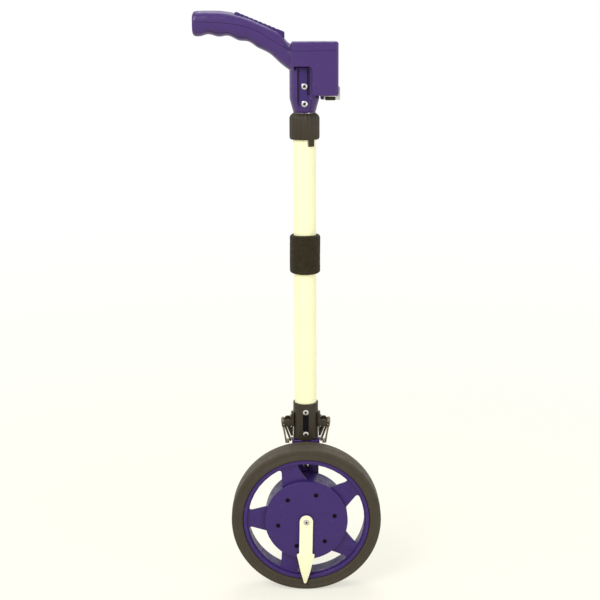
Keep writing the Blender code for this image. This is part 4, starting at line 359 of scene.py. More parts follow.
# %% Helpers for modelling
def only(piece=None):
    """Leaves the piece selected and active, and nothing else."""
    if bpy.context.object and bpy.context.object.mode != "OBJECT":
        bpy.ops.object.mode_set(mode="OBJECT")
    bpy.ops.object.select_all(action="DESELECT")
    if piece:
        piece.select_set(True)
        bpy.context.view_layer.objects.active = piece


def settle(piece):
    """Puts the piece's place, turn and scale into its mesh."""
    only(piece)
    bpy.ops.object.transform_apply(location=True, rotation=True, scale=True)


def open_mesh(piece, kind="VERT"):
    only(piece)
    bpy.ops.object.mode_set(mode="EDIT")
    bpy.ops.mesh.select_mode(type=kind)
    bpy.ops.mesh.select_all(action="SELECT")


def close_mesh(merge=0.0, flatten=0.0, outward=True):
    """Merges corners closer than so many mm, joins faces within so many degrees, and turns them out."""
    bpy.ops.mesh.select_all(action="SELECT")
    if merge:
        bpy.ops.mesh.remove_doubles(threshold=merge * MM)
    if flatten:
        bpy.ops.mesh.dissolve_limited(angle_limit=math.radians(flatten))
    if outward:
        bpy.ops.mesh.normals_make_consistent(inside=False)
    bpy.ops.object.mode_set(mode="OBJECT")


def extrude(step, grow=None, centre=None):
    bpy.ops.mesh.extrude_region_move(TRANSFORM_OT_translate={"value": step})
    if grow:
        bpy.ops.transform.resize(value=grow, center_override=centre)


def slice_mesh(place, normal):
    bpy.ops.mesh.select_all(action="SELECT")
    bpy.ops.mesh.bisect(plane_co=place, plane_no=normal)


def apply_all(piece):
    only(piece)
    for modifier in list(piece.modifiers):
        bpy.ops.object.modifier_apply(modifier=modifier.name)


def rounded(piece, width, segments=2):
    """Bevels every edge that is sharper than 35 degrees."""
    bevel = piece.modifiers.new("rounded_edges", "BEVEL")
    bevel.width = width * MM
    bevel.segments = segments
    bevel.limit_method = "ANGLE"
    bevel.angle_limit = math.radians(35)
    apply_all(piece)


def combined(piece, others, operation):
    """Joins other closed pieces to this one, or cuts them out of it, and removes them."""
    for other in others:
        step = piece.modifiers.new(other.name, "BOOLEAN")
        step.operation = operation
        step.solver = "EXACT"
        step.object = other
    apply_all(piece)
    for other in others:
        bpy.data.objects.remove(other)


def join(piece, *others):
    combined(piece, others, "UNION")


def cut(piece, *others):
    combined(piece, others, "DIFFERENCE")


def smooth(piece, degrees):
    only(piece)
    bpy.ops.object.shade_smooth_by_angle(angle=math.radians(degrees))


def dress(piece, degrees, finish, node):
    """Smooths edges below the angle, gives the piece its finish and its node's body, and hides the node."""
    smooth(piece, degrees)
    piece.data.materials.clear()
    piece.data.materials.append(finish)
    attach(piece, body_of_node[node])
    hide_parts(node)


# %% [markdown]
# Two ways of making a shape serve most of this object. A turned piece is one vertex, extruded from point
# to point along half of its outline and spun round its axis, as a lathe would cut it. A flat piece is an
# outline, filled and extruded to its thickness, as if cut from sheet.

# %% Turned pieces
def turned(name, profile, steps, centre, axis, closed=True):
    """A profile of (radius, distance along the axis), spun about the axis through the centre."""
    centre, along = metres(centre), Vector(axis)
    across = Vector((0, 0, 1)) if abs(along.z) < 0.5 else Vector((1, 0, 0))
    points = [centre + across * (radius * MM) + along * (far * MM) for radius, far in profile]
    only()
    bpy.ops.mesh.primitive_plane_add(size=MM, location=points[0])
    piece = bpy.context.object
    piece.name = name
    settle(piece)
    open_mesh(piece)
    bpy.ops.mesh.merge(type="CENTER")
    for before, after in zip(points, points[1:] + points[:1] if closed else points[1:]):
        extrude(after - before)
    bpy.ops.mesh.select_all(action="SELECT")
    bpy.ops.mesh.spin(steps=steps, angle=math.tau, center=centre, axis=axis)
    close_mesh(0.004)
    return piece


def corner(centre, radius, start, end, steps=4):
    """Points of a round corner, from one angle in degrees to another."""
    turns = [math.radians(start + (end - start) * k / steps) for k in range(steps + 1)]
    return [(centre[0] + radius * math.cos(turn), centre[1] + radius * math.sin(turn)) for turn in turns]


def ring(inner, outer, front, back, edge):
    """The section of a plain ring with its edges chamfered."""
    return [(outer - edge, back), (outer, back - edge), (outer, front + edge), (outer - edge, front),
            (inner + edge, front), (inner, front + edge), (inner, back - edge), (inner + edge, back)]


# %% Flat pieces
def flat(name, loops, front, back, edge=0.0, segments=2):
    """Outlines of (x, z), holes left open, from the front face's y to the back face's."""
    only()
    outline = bpy.data.curves.new(name, "CURVE")
    outline.dimensions = "2D"
    outline.fill_mode = "BOTH"
    outline.extrude = (back - front) / 2 * MM
    for loop in loops:
        line = outline.splines.new("POLY")
        line.points.add(len(loop) - 1)
        for point, (x, z) in zip(line.points, loop):
            point.co = (x * MM, z * MM, 0, 1)
        line.use_cyclic_u = True
    piece = bpy.data.objects.new(name, outline)
    bpy.context.scene.collection.objects.link(piece)
    only(piece)
    bpy.ops.object.convert(target="MESH")
    piece.location.y = (front + back) / 2 * MM
    piece.rotation_euler.x = math.pi / 2
    settle(piece)
    open_mesh(piece)
    close_mesh(0.004, 0.5)
    if edge:
        rounded(piece, edge, segments)
    return piece


def slab(name, x_ends, z_ends, y_ends, edge=0.0, segments=2):
    """A flat piece with a rectangle for its outline."""
    (left, right), (low, high) = x_ends, z_ends
    return flat(name, [[(left, low), (right, low), (right, high), (left, high)]], *y_ends, edge, segments)


def about_pole(half):
    return pole_y - half, pole_y + half


def drill(name, radius, start, end, steps=32):
    """A round cutter between two points."""
    start, end = metres(start), metres(end)
    only()
    bpy.ops.mesh.primitive_cylinder_add(vertices=steps, radius=radius * MM, depth=(end - start).length)
    piece = bpy.context.object
    piece.name = name
    piece.location = (start + end) / 2
    piece.rotation_euler = (end - start).to_track_quat("Z", "Y").to_euler()
    settle(piece)
    return piece


def on_pole(name, radius, low, high, steps=96):
    return drill(name, radius, (0, pole_y, low), (0, pole_y, high), steps)


def reshaped(piece, share_at):
    """Moves each vertex towards the pole's axis, to the share that its turn, distance and height give."""
    for vertex in piece.data.vertices:
        across = vertex.co.y - pole_y * MM
        turn = math.atan2(across, vertex.co.x)
        share = share_at(turn, math.hypot(vertex.co.x, across) / MM, vertex.co.z / MM)
        vertex.co.x *= share
        vertex.co.y = pole_y * MM + across * share


# %% [markdown]
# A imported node's mesh is loose triangles with sharp edges. A copy of it can still be a good piece, once
# doubled corners are merged, flat faces are joined, and a narrow bevel takes the knife edge off.

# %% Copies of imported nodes, with rounded edges
EDGES = {"latch_loop_left": 0, "latch_loop_right": 0, "drive_tube": 0.1, "latch_rivet_left": 0.2,
         "latch_rivet_right": 0.2, "leg": 0.5, "reset_pad": 0.2}
PLAIN_PIECES = (
    (purple, "purple_plastic", "leg"),
    (black, "black_plastic", "clamp_collet reset_pad gearbox_cover"),
    (bare_tube, "aluminium_tube", "inner_tube"),
    (steel, "steel", "axle axle_nut reset_lever hub_gear drive_shaft drive_tube drive_rod counter_frame"),
    (wire, "steel", "latch_catch_left latch_catch_right latch_loop_left latch_loop_right"),
    (zinc, "yellow_zinc", "latch_lever_left latch_lever_right latch_rivet_left latch_rivet_right"),
    (brass, "brass", "hub_bush shaft_bush upper_bush cross_axle drum_axle"),
    (glass, "clear_plastic", "counter_window"),
)
LEG_SLOTS = ((-6.6, -4.9), (-2.9, 3.2), (6.2, 8.3))


def softened(node, finish):
    piece = frame["nodes"][node].copy()
    piece.data = piece.data.copy()
    piece.name = node + "_piece"
    piece.parent = None
    for key in list(piece.keys()):
        del piece[key]
    bpy.context.scene.collection.objects.link(piece)
    open_mesh(piece)
    close_mesh(0.01, 0.8, outward=False)
    edge = EDGES.get(node, 0.25)
    if edge:
        rounded(piece, edge)
    dress(piece, 38, finish, node)
    return piece


copies = {}
for finish, slot, members in PLAIN_PIECES:
    for node in members.split():
        copies[node] = softened(node, finish)
leg_front = box("leg")[0].y
slot_ends = (152.4, 154.2), (leg_front - 1, leg_front + 2)
cut(copies["leg"], *[slab("slot", ends, *slot_ends) for ends in LEG_SLOTS])
smooth(copies["leg"], 38)
print("softened copies:", len(copies))

# %% [markdown]
# The tyre is turned from its section: two rounded shoulders, a slightly crowned tread with the moulding
# line in its middle, and a thin raised ring near the bead on each side wall.

# %% Tyre
ROUND_STEPS = 160
SHOULDER = 2.4
RING = 0.35
CROWN = 0.15
tyre_half = half_size("tyre", 1)
bead = tyre_radius - 12.2
wall = tyre_half - RING
section = [(tyre_radius, 0.3), (tyre_radius - CROWN, 0.5), (tyre_radius - CROWN, 4)]
section += corner((tyre_radius - CROWN * 2 - SHOULDER, wall - SHOULDER), SHOULDER, 0, 90, 6)
section += [(bead + 6.4, wall), (bead + 6.1, wall - 0.2), (bead + 5.8, wall), (bead + 3.2, wall),
            (bead + 2.8, tyre_half), (bead + 1.4, tyre_half), (bead + 0.6, wall), (bead, wall - 0.8)]
section += [(radius, -far) for radius, far in reversed(section)]
tyre = turned("tyre_band", section, ROUND_STEPS, *ON_AXLE)
dress(tyre, 40, rubber, "tyre")
print("tyre faces:", len(tyre.data.polygons))

# %% [markdown]
# The wheel body is one moulding. The rim and the drum are turned, the spokes are a flat disc with five
# windows, and they are joined by Booleans once each has its rounded edges. A window's outline is worked
# out from its angles, with round corners at the rim.

# %% Wheel body
RIM_OUTER = bead - 0.3
RIM_INNER = RIM_OUTER - 4.2
RIM_HALF = 12.3
DRUM_RADIUS, DRUM_WALL = 43.9, 2.4
DRUM_ENDS = -11.2, 12.0
SPOKE_FRONT, SPOKE_BACK = -9.5, -5.0
SLEEVE = (8.3, 12.0, -8.5, 19.0)
SPOKES = 5
SPOKE_STEP = 360 / SPOKES
WINDOW_OUTER, WINDOW_INNER = 28.4, 17.0
WINDOW_CORNER = 4.6
WHEEL_TURN = -0.7


def at_angle(radius, degrees):
    turn = math.radians(degrees)
    return Vector((radius * math.cos(turn), radius * math.sin(turn)))


def window(middle):
    """A window's outline, counted in degrees from +X, with its corners at the rim rounded."""
    outer, inner = RIM_INNER - 1.2, DRUM_RADIUS - DRUM_WALL / 2
    inset = math.degrees(WINDOW_CORNER / outer)
    sides = []
    for way in (-1, 1):
        tip = at_angle(outer, middle + way * WINDOW_OUTER)
        root = at_angle(inner, middle + way * WINDOW_INNER)
        on_rim = at_angle(outer, middle + way * (WINDOW_OUTER - inset))
        on_side = tip + (root - tip).normalized() * WINDOW_CORNER
        bend = [k / 6 for k in range(7)]
        sides.append([on_rim * (1 - t) ** 2 + tip * 2 * t * (1 - t) + on_side * t ** 2 for t in bend])
    rim = [at_angle(outer, middle + WINDOW_OUTER * share) for share in (-0.6, -0.3, 0, 0.3, 0.6)]
    hub = [at_angle(inner, middle + WINDOW_INNER * share) for share in (1, 0.5, 0, -0.5, -1)]
    return sides[0][::-1] + rim + sides[1] + hub


def raised(loop):
    return [(point[0], point[1] + axle_z) for point in loop]


disc = raised([at_angle((RIM_INNER + RIM_OUTER) / 2, 3 * k) for k in range(120)])
bore = raised([at_angle(10, 10 * k) for k in range(36)])
windows = [raised(window(SPOKE_STEP * k + WHEEL_TURN)) for k in range(SPOKES)]
wheel = turned("wheel_moulding", ring(RIM_INNER, RIM_OUTER, -RIM_HALF, RIM_HALF, 0.5), ROUND_STEPS, *ON_AXLE)
spokes = flat("spokes", [disc, bore] + windows, SPOKE_FRONT, SPOKE_BACK, 0.4)
drum = turned("drum_wall", ring(DRUM_RADIUS - DRUM_WALL, DRUM_RADIUS, *DRUM_ENDS, 0.3), 120, *ON_AXLE)
join(wheel, spokes, drum, turned("sleeve", ring(*SLEEVE, 0.3), 64, *ON_AXLE))
print("wheel body faces:", len(wheel.data.polygons))

# %% [markdown]
# Mouldings are pushed out of their tool by pins, and each pin leaves a faint ring. One shows on each
# spoke, as a shallow ring cut with a turned cutter.

# %% Ejector marks
MARK_RADIUS, MARK_WIDTH = 2.6, 0.6
MARK_DEPTH = 0.3
MARK_PLACE = 56.5
mark_ring = [(MARK_RADIUS, -1), (MARK_RADIUS, MARK_DEPTH), (MARK_RADIUS - MARK_WIDTH, MARK_DEPTH),
             (MARK_RADIUS - MARK_WIDTH, -1)]
marks = []
for k in range(SPOKES):
    spot = at_angle(MARK_PLACE, SPOKE_STEP / 2 + SPOKE_STEP * k + WHEEL_TURN)
    marks.append(turned("mark", mark_ring, 32, (spot.x, SPOKE_FRONT, spot.y + axle_z), (0, 1, 0)))
cut(wheel, *marks)
dress(wheel, 32, purple, "wheel_body")

# %% [markdown]
# The hub's front cover is a turned disc with a soft edge and six recesses for its screws. The back cover
# is a deeper cup behind the spokes, and its side wall shows through the upper windows.

# %% Hub covers
COVER_BORE, BACK_BORE = 3.9, 12.4
HUB_SCREWS = 6
SCREW_CIRCLE = 30.4
RECESS_RADIUS, RECESS_DEPTH = 2.5, 1.5
low, high = box("hub_cover")
radius = half_size("hub_cover")
profile = [(COVER_BORE, high.y), (COVER_BORE, low.y)]
profile += corner((radius - 1, low.y + 1), 1, 270, 360, 5) + [(radius, high.y)]
cover = turned("hub_cover_disc", profile, ROUND_STEPS, *ON_AXLE)
recesses = []
for k in range(HUB_SCREWS):
    spot = at_angle(SCREW_CIRCLE, 10 + 60 * k)
    ends = [(spot.x, y, spot.y + axle_z) for y in (low.y - 1, low.y + RECESS_DEPTH)]
    recesses.append(drill("recess", RECESS_RADIUS, *ends))
cut(cover, *recesses)
dress(cover, 32, purple, "hub_cover")

low, high = box("hub_back")
radius = half_size("hub_back")
profile = [(BACK_BORE, high.y)] + corner((radius - 0.9, high.y - 0.9), 0.9, 90, 0, 4)
profile += [(radius, low.y + 2.2), (radius - 0.3, low.y + 2.0), (radius - 0.3, low.y),
            (radius - 2.4, low.y), (radius - 2.4, high.y - 2.4), (BACK_BORE, high.y - 2.4)]
back_cover = turned("hub_back_cup", profile, ROUND_STEPS, *ON_AXLE)
dress(back_cover, 32, purple, "hub_back")
print("hub cover faces:", len(cover.data.polygons), "and", len(back_cover.data.polygons))

# %% [markdown]
# The pointer is cut from cream sheet: a rounded end on the axle, a straight arm, and an arrowhead with two
# shoulders. The head has a low ridge: the plate is cut down its middle, and the sides are pushed back.

# %% Pointer
POINTER_HALF = 7.0
POINTER_LENGTH = 70.4
POINTER_LEAN = math.radians(1.2)
SHOULDER_HALF, SHOULDER_DROP = 9.3, 37.0
RIDGE = 0.9
low, high = box("pointer_arm")
tip = corner((0, -POINTER_LENGTH + 1.6), 1.6, 345, 195, 6)
right = [(POINTER_HALF, -SHOULDER_DROP + 0.8), (SHOULDER_HALF, -SHOULDER_DROP),
         (SHOULDER_HALF, -SHOULDER_DROP - 2.2), (SHOULDER_HALF * 0.9, -SHOULDER_DROP - 6),
         (SHOULDER_HALF * 0.54, -SHOULDER_DROP - 20.8)]
arm = corner((0, 0), POINTER_HALF, 180, 0, 20) + right + tip + [(-x, z) for x, z in reversed(right)]
pointer = flat("pointer_plate", [raised(arm)], low.y, high.y, 0.35)
open_mesh(pointer)
for drop, normal in ((0, (1, 0, 0)), (3, (0, 0, 1))):
    slice_mesh((0, 0, (axle_z - SHOULDER_DROP - drop) * MM), normal)
bpy.ops.object.mode_set(mode="OBJECT")
for vertex in pointer.data.vertices:
    below = axle_z - SHOULDER_DROP - 1 - vertex.co.z / MM
    if vertex.co.y / MM < low.y + 0.5 and below > 0:
        vertex.co.y += RIDGE * min(1, abs(vertex.co.x / MM) / 5) * min(1, below / 3) * MM
cut(pointer, drill("pointer_hole", 1.8, (0, low.y - 1, axle_z), (0, high.y + 1, axle_z)))
axle = metres((0, 0, axle_z))
lean = Matrix.Translation(axle) @ Matrix.Rotation(POINTER_LEAN, 4, "Y") @ Matrix.Translation(-axle)
pointer.data.transform(lean)
dress(pointer, 25, cream, "pointer_arm")
print("pointer faces:", len(pointer.data.polygons))

# %% [markdown]
# One function makes every screw. A low cylinder is inset and raised twice to make the domed head, two
# crossed bars are cut out of its top as the driver's recess, and the screw is turned so that its head
# faces out of its seat.

# %% Cross-head screws
BAR_WIDTH, BAR_HEIGHT = 0.2, 1.18


def cross_screw(node, out, height, shank, turn=0.5, finish=steel, share=0.55):
    """A screw in the place of a packed one, its head towards the direction out."""
    low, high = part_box(node)
    middle, axis = (low + high) / 2, Vector(out)
    reach = max(abs((end - middle).dot(axis)) for end in (low, high))
    head, tall, rim = (high.x - low.x) / 2, height * MM, height * MM / 1.38
    only()
    bpy.ops.mesh.primitive_cylinder_add(vertices=32, radius=head, depth=rim, location=(0, 0, rim / 2))
    screw = bpy.context.object
    screw.name = node + "_cross"
    settle(screw)
    for way in (1, -1):
        open_mesh(screw, "FACE")
        for face in bmesh.from_edit_mesh(screw.data).faces:
            face.select = face.normal.z * way > 0.9
        if way == 1:
            bpy.ops.mesh.inset(thickness=head * 0.22, depth=rim * 0.26)
            bpy.ops.mesh.inset(thickness=head * 0.3, depth=rim * 0.12)
        else:
            bpy.ops.mesh.inset(thickness=head - shank * MM)
            extrude((0, 0, tall - reach * 2))
        bpy.ops.object.mode_set(mode="OBJECT")
    bars = []
    for k in range(2):
        bpy.ops.mesh.primitive_cube_add(size=1, location=(0, 0, rim * BAR_HEIGHT))
        bar = bpy.context.object
        bar.scale = (head * share * 2, head * BAR_WIDTH * 2, rim)
        bar.rotation_euler.z = turn + k * math.pi / 2
        settle(bar)
        bars.append(bar)
    cut(screw, *bars)
    # The faces of the driver's recess get the black finish as painted shade.
    recess_shade_faces = [face.index for face in screw.data.polygons if 0 < face.center.z < rim * 1.02
            and math.hypot(face.center.x, face.center.y) < head * (share + 0.02)]
    seat = middle + axis * (reach - tall)
    screw.data.transform(Matrix.Translation(seat) @ axis.to_track_quat("Z", "Y").to_matrix().to_4x4())
    dress(screw, 40, finish, node)
    screw.data.materials.append(black_screw_and_painted_shade)
    for index in recess_shade_faces:
        screw.data.polygons[index].material_index = 1


# %% Screws in their seats
for k in range(HUB_SCREWS):
    cross_screw(f"hub_screw_{k + 1}", (0, -1, 0), 0.8, 1.2, k, black_screw_and_painted_shade)
cross_screw("pointer_screw", (0, -1, 0), 1.5, 1.4, 0.3, share=0.35)
for node, turn in (("leg_screw", 1.2), ("socket_screw_lower", 0.7), ("socket_screw_upper", 0.1),
                   ("neck_screw_lower", 0.4), ("neck_screw_upper", 1.0)):
    cross_screw(node, (0, -1, 0), 1.5, 1.4, turn)
GRIP_SCREWS = ("grip_screw_front", "grip_screw_rear")
for node in GRIP_SCREWS:
    cross_screw(node, (0, 0, -1), 1.6, 1.2)

# %% [markdown]
# The pole's outer tube is a fine cylinder, pulled in along two narrow lines and bored out. The lines are
# the shallow key grooves that keep a telescope's inner tube from turning.

# %% Pole
TUBE_WALL = 1.2
KEY_WIDTH, KEY_DEPTH = 0.05, 0.4
KEY_ANGLES = (-1.69, -0.55)
low, high = box("outer_tube")
tube_radius = half_size("outer_tube")


def keyed(turn, out, z):
    return 1 - sum(math.exp(-((turn - key) / KEY_WIDTH) ** 2) for key in KEY_ANGLES) * KEY_DEPTH / tube_radius


tube = on_pole("pole_tube", tube_radius, low.z, high.z, 288)
reshaped(tube, keyed)
cut(tube, on_pole("bore", tube_radius - TUBE_WALL, low.z - 1, high.z + 1))
dress(tube, 30, tube_metal, "outer_tube")
print("pole faces:", len(tube.data.polygons))

# %% [markdown]
# The foam collar marks where a hand carries the folded tool. It is a padded piece: a turned sleeve with
# round ends, pushed in and out a little by slow waves, because cut foam is never true.

# %% Foam collar
COLLAR_END = 2.6
WAVE = 0.35
INSIDE = tube_radius + 0.2
collar_radius = half_size("foam_collar")
bottom, top = [end.z for end in box("foam_collar")]
side_step = (top - bottom - COLLAR_END * 2) / 14
end_radius = collar_radius - COLLAR_END
profile = [(INSIDE, bottom), (end_radius - 0.4, bottom)]
profile += corner((end_radius, bottom + COLLAR_END), COLLAR_END, 275, 360, 6)
profile += [(collar_radius, bottom + COLLAR_END + side_step * k) for k in range(1, 14)]
profile += corner((end_radius, top - COLLAR_END), COLLAR_END, 0, 85, 6)
profile += [(end_radius - 0.4, top), (INSIDE, top)]


def dented(turn, out, z):
    if out <= INSIDE + 1:
        return 1
    share = (z - bottom) / (top - bottom)
    slow = 0.5 + 0.5 * math.sin(turn * 3 + share * 5)
    return 1 - WAVE * slow * (0.4 + 0.6 * math.sin(share * 17 + turn) ** 2) / out


collar = turned("foam_sleeve", profile, 96, *ON_POLE)
reshaped(collar, dented)
for vertex in collar.data.vertices:
    turn = math.atan2(vertex.co.y - pole_y * MM, vertex.co.x)
    share = (vertex.co.z / MM - bottom) / (top - bottom)
    lift = WAVE * 1.6 * (0.5 + 0.5 * math.sin(turn * 2 + 1.3)) * MM
    vertex.co.z += lift * (1 - share) ** 6 - lift * share ** 6
dress(collar, 60, foam, "foam_collar")
print("collar faces:", len(collar.data.polygons))

# %% [markdown]
# The clamp nut has deep rounded flutes for wet hands. One ring of points follows a wave in radius, is
# filled, and is extruded upward in steps, scaled in a little at the foot and more at the top, which turns
# the flutes into the cone there.

# %% Clamp nut
FLUTES = 22
FLUTE_DEPTH = 0.7
FOOT_ENDS, TOP_ENDS = (0.6, 1.4, 2.6), (4.8, 2.8, 1.2)
SHARES = (0.93, 0.965, 0.99, 1, 1, 0.95, 0.85, 0.76)
low, high = box("clamp_nut")
nut_radius = half_size("clamp_nut")


def fluted(turn, out, z):
    wave = 0.5 + 0.5 * math.cos(turn * FLUTES)
    return (nut_radius - FLUTE_DEPTH * (1 - wave) ** 1.6) * SHARES[0] / out


only()
bpy.ops.mesh.primitive_circle_add(vertices=FLUTES * 12, radius=nut_radius * MM, fill_type="NGON",
                                  location=metres((0, pole_y, low.z)))
nut = bpy.context.object
nut.name = "fluted_nut"
settle(nut)
reshaped(nut, fluted)
open_mesh(nut, "FACE")
heights = [low.z] + [low.z + end for end in FOOT_ENDS] + [high.z - end for end in TOP_ENDS] + [high.z]
for k in range(len(heights) - 1):
    grow = SHARES[k + 1] / SHARES[k]
    extrude((0, 0, (heights[k + 1] - heights[k]) * MM), (grow, grow, 1), metres((0, pole_y, heights[k + 1])))
close_mesh()
cut(nut, on_pole("nut_cavity", 13.5, low.z - 1, high.z - 4), on_pole("nut_way", 10.5, low.z, high.z + 1))
dress(nut, 40, black, "clamp_nut")
print("nut faces:", len(nut.data.polygons))

# %% [markdown]
# The socket that the pole stands in is turned with a spigot below it, joined to two flat pads that carry
# the latches, and given the shallow channel between its two screws.

# %% Pole socket
SOCKET_RADIUS, SOCKET_FOOT = 13.35, 158.0
SOCKET_BORE, SHAFT_BORE = tube_radius + 0.3, 5.9
SPIGOT = 9.3
PAD_REACH, PAD_HALF, PAD_ENDS = 13.6, 7.7, (171.8, 187.3)
CHANNEL_HALF, CHANNEL_DEPTH, CHANNEL_ENDS = 3.1, 1.0, (168.0, 187.0)
foot, top = [end.z for end in box("pole_socket")]
profile = [(SHAFT_BORE, foot), (SPIGOT - 0.5, foot), (SPIGOT, foot + 0.5), (SPIGOT, SOCKET_FOOT)]
profile += corner((SOCKET_RADIUS - 0.6, SOCKET_FOOT + 0.6), 0.6, 270, 360, 3)
profile += corner((SOCKET_RADIUS - 0.5, top - 0.5), 0.5, 0, 90, 3)
profile += [(SOCKET_BORE + 0.4, top), (SOCKET_BORE, top - 0.4), (SOCKET_BORE, SOCKET_FOOT + 6),
            (SHAFT_BORE, SOCKET_FOOT + 6)]
socket = turned("socket_body", profile, 96, *ON_POLE)
join(socket, *[slab("pad", (way * 12.6, way * PAD_REACH), PAD_ENDS, about_pole(PAD_HALF), 0.25)
               for way in (-1, 1)])
floor_y = pole_y - SOCKET_RADIUS + CHANNEL_DEPTH
cut(socket, slab("channel", (-CHANNEL_HALF, CHANNEL_HALF), CHANNEL_ENDS,
                 (pole_y - SOCKET_RADIUS - 1, floor_y)))
dress(socket, 32, black, "pole_socket")
# The channel's floor gets the screw black as painted shade.
socket.data.materials.append(black_screw_and_painted_shade)
for face in socket.data.polygons:
    x, y, z = face.center / MM
    if abs(x) < CHANNEL_HALF and CHANNEL_ENDS[0] < z < CHANNEL_ENDS[1] and abs(y - floor_y) < 0.02:
        face.material_index = 1
print("socket faces:", len(socket.data.polygons))

# %% [markdown]
# Each latch turns in a bracket riveted to the socket's pad: a back plate, a shelf with a slot for the
# lever, and two cheeks, each a thick arm with a round lug for the pin and a brace below it. One outline
# makes the cheek on both sides, and mirrored it makes the other latch's.

# %% Latch brackets
CHEEK, CHEEK_HALF = 1.5, 7.5
LUG_CENTRE, LUG_RADIUS = (23.6, 174.0), 2.3
PIN_HOLE = 1.3
PLATE_NEAR, PLATE_FAR = 13.7, 20.6
SHELF_LOW, SHELF_HIGH = 172.8, 174.8
ARM_TOP = 179.6
cheek_outline = [(PLATE_NEAR, ARM_TOP), (21.0, ARM_TOP), (22.2, ARM_TOP - 1.2)]
cheek_outline += corner(LUG_CENTRE, LUG_RADIUS, 80, -110, 10)
cheek_outline += [(20.2, 172.0), (15.9, 161.6), (PLATE_NEAR, 161.4)]
brace_hole = [(15.5, 172.4), (18.3, 172.4), (15.5, 165.6)]
for side, word in ((-1, "left"), (1, "right")):
    bracket = slab("latch_bracket", (side * PLATE_NEAR, side * PLATE_FAR), (SHELF_LOW, SHELF_HIGH),
                   about_pole(7.4))
    cut(bracket, slab("shelf_slot", (side * 18.2, side * (PLATE_FAR + 1)), (SHELF_LOW - 1, SHELF_HIGH + 1),
                      about_pole(6.1)))
    parts = [slab("back_plate", (side * (PLATE_NEAR + 0.02), side * 15.7), (SHELF_LOW + 0.1, 185.2),
                  about_pole(7.3), 0.3)]
    loops = [[(side * x, z) for x, z in loop] for loop in (cheek_outline, brace_hole)]
    for front in (-CHEEK_HALF, CHEEK_HALF - CHEEK):
        parts.append(flat("cheek", loops, pole_y + front, pole_y + front + CHEEK, 0.25))
    join(bracket, *parts)
    pin_ends = [(side * LUG_CENTRE[0], pole_y + way * 9, LUG_CENTRE[1]) for way in (-1, 1)]
    cut(bracket, drill("pin_hole", PIN_HOLE, *pin_ends, 24))
    dress(bracket, 35, black, f"latch_bracket_{word}")
    print(word, "bracket faces:", len(bracket.data.polygons))

# %% [markdown]
# The head is two shells of one form. The grip is a loft: a rounded ring of points, filled as a face, is
# extruded from station to station, and scaled at each to the grip's height and width there. Its outline
# is a few shares of its length and rise, eased through by a curve.

# %% The grip's outline
BOX_BACK, BOX_FRONT = -13.3, 34.0
BOX_BOTTOM, BOX_TOP = 523.0, 576.0
BOX_HALF = 22.0
STEP_X, STEP_Z = 7.8, 551.5
LID_LINE = 567.1
GRIP_REACH, GRIP_RISE, GRIP_LOW = 98.5, 59.0, 547.7
GRIP_HALF, ROOT_SPREAD, ROOT_SHARE = 14, 2.5, 0.18
FINGER_SHARE, FINGER_START, FINGER_DEPTH = 20.3 / 98.5, 0.941, 2.1
TOP_SHARES = ((-0.05, 0.40), (0, 0.44), (0.035, 0.474), (0.058, 0.522), (0.0985, 0.627), (0.172, 0.695),
              (0.296, 0.791), (0.421, 0.879), (0.52, 0.933), (0.613, 0.970), (0.714, 0.992), (0.815, 0.997),
              (0.917, 0.995), (0.967, 0.990), (0.985, 0.972), (0.994, 0.945), (1, 0.91))
LINE_SHARES = ((-0.05, 0.327), (0, 0.327), (0.026, 0.348), (0.207, 0.523), (0.341, 0.655), (0.501, 0.747),
               (0.667, 0.788), (0.82, 0.803), (1, 0.815))
BOTTOM_SHARES = ((-0.05, -0.05), (0, -0.018), (0.018, 0), (0.11, 0.119), (0.211, 0.272), (0.312, 0.358),
                 (0.515, 0.494), (0.718, 0.562), (0.941, 0.569), (0.972, 0.573), (0.986, 0.588),
                 (0.994, 0.61), (1, 0.64))
WIDTH_SHARES = ((-0.05, 1), (0.955, 1), (0.98, 0.975), (0.994, 0.93), (1, 0.87))


def eased(table, share):
    """The value at a share of a table of (share, value), on a smooth curve through its points."""
    k = 0
    while k < len(table) - 2 and share > table[k + 1][0]:
        k += 1
    slopes = []
    for i in (k, k + 1):
        before, after = table[max(i - 1, 0)], table[min(i + 1, len(table) - 1)]
        slopes.append((after[1] - before[1]) / (after[0] - before[0]))
    width = table[k + 1][0] - table[k][0]
    t = min(max((share - table[k][0]) / width, 0), 1)
    blend = t * t * (3 - 2 * t)
    bend = slopes[0] * t * (1 - t) ** 2 * width - slopes[1] * t * t * (1 - t) * width
    return table[k][1] * (1 - blend) + table[k + 1][1] * blend + bend


def grip_z(table, share):
    return GRIP_LOW + eased(table, share) * GRIP_RISE


def grip_size(share, shrink):
    """Middle height, half height and half width of the grip at a share of its length."""
    along = (FINGER_START - share) / FINGER_SHARE
    scallop = FINGER_DEPTH * math.sin(math.pi * along) ** 2 if 0 < along < 3 else 0
    top, bottom = grip_z(TOP_SHARES, share), grip_z(BOTTOM_SHARES, share) + scallop
    root = max(0, 1 - share / ROOT_SHARE)
    half_width = (GRIP_HALF + ROOT_SPREAD * root ** 2) * eased(WIDTH_SHARES, share)
    return (top + bottom) / 2, (top - bottom) / 2 - shrink, half_width - shrink


# %% The grip's solid form
SECTION_POINTS = 64
SQUARENESS = 2.7
STATIONS = [-0.03 + 0.012 * k for k in range(83)] + [0.96, 0.968, 0.976, 0.983, 0.989, 0.994]
END_CAP = ((1.2, 0.35), (3.0, 0.2))


def squared(value):
    """Pushes a sine or cosine outward, which makes an ellipse squarer."""
    return math.copysign(abs(value) ** (2 / SQUARENESS), value)


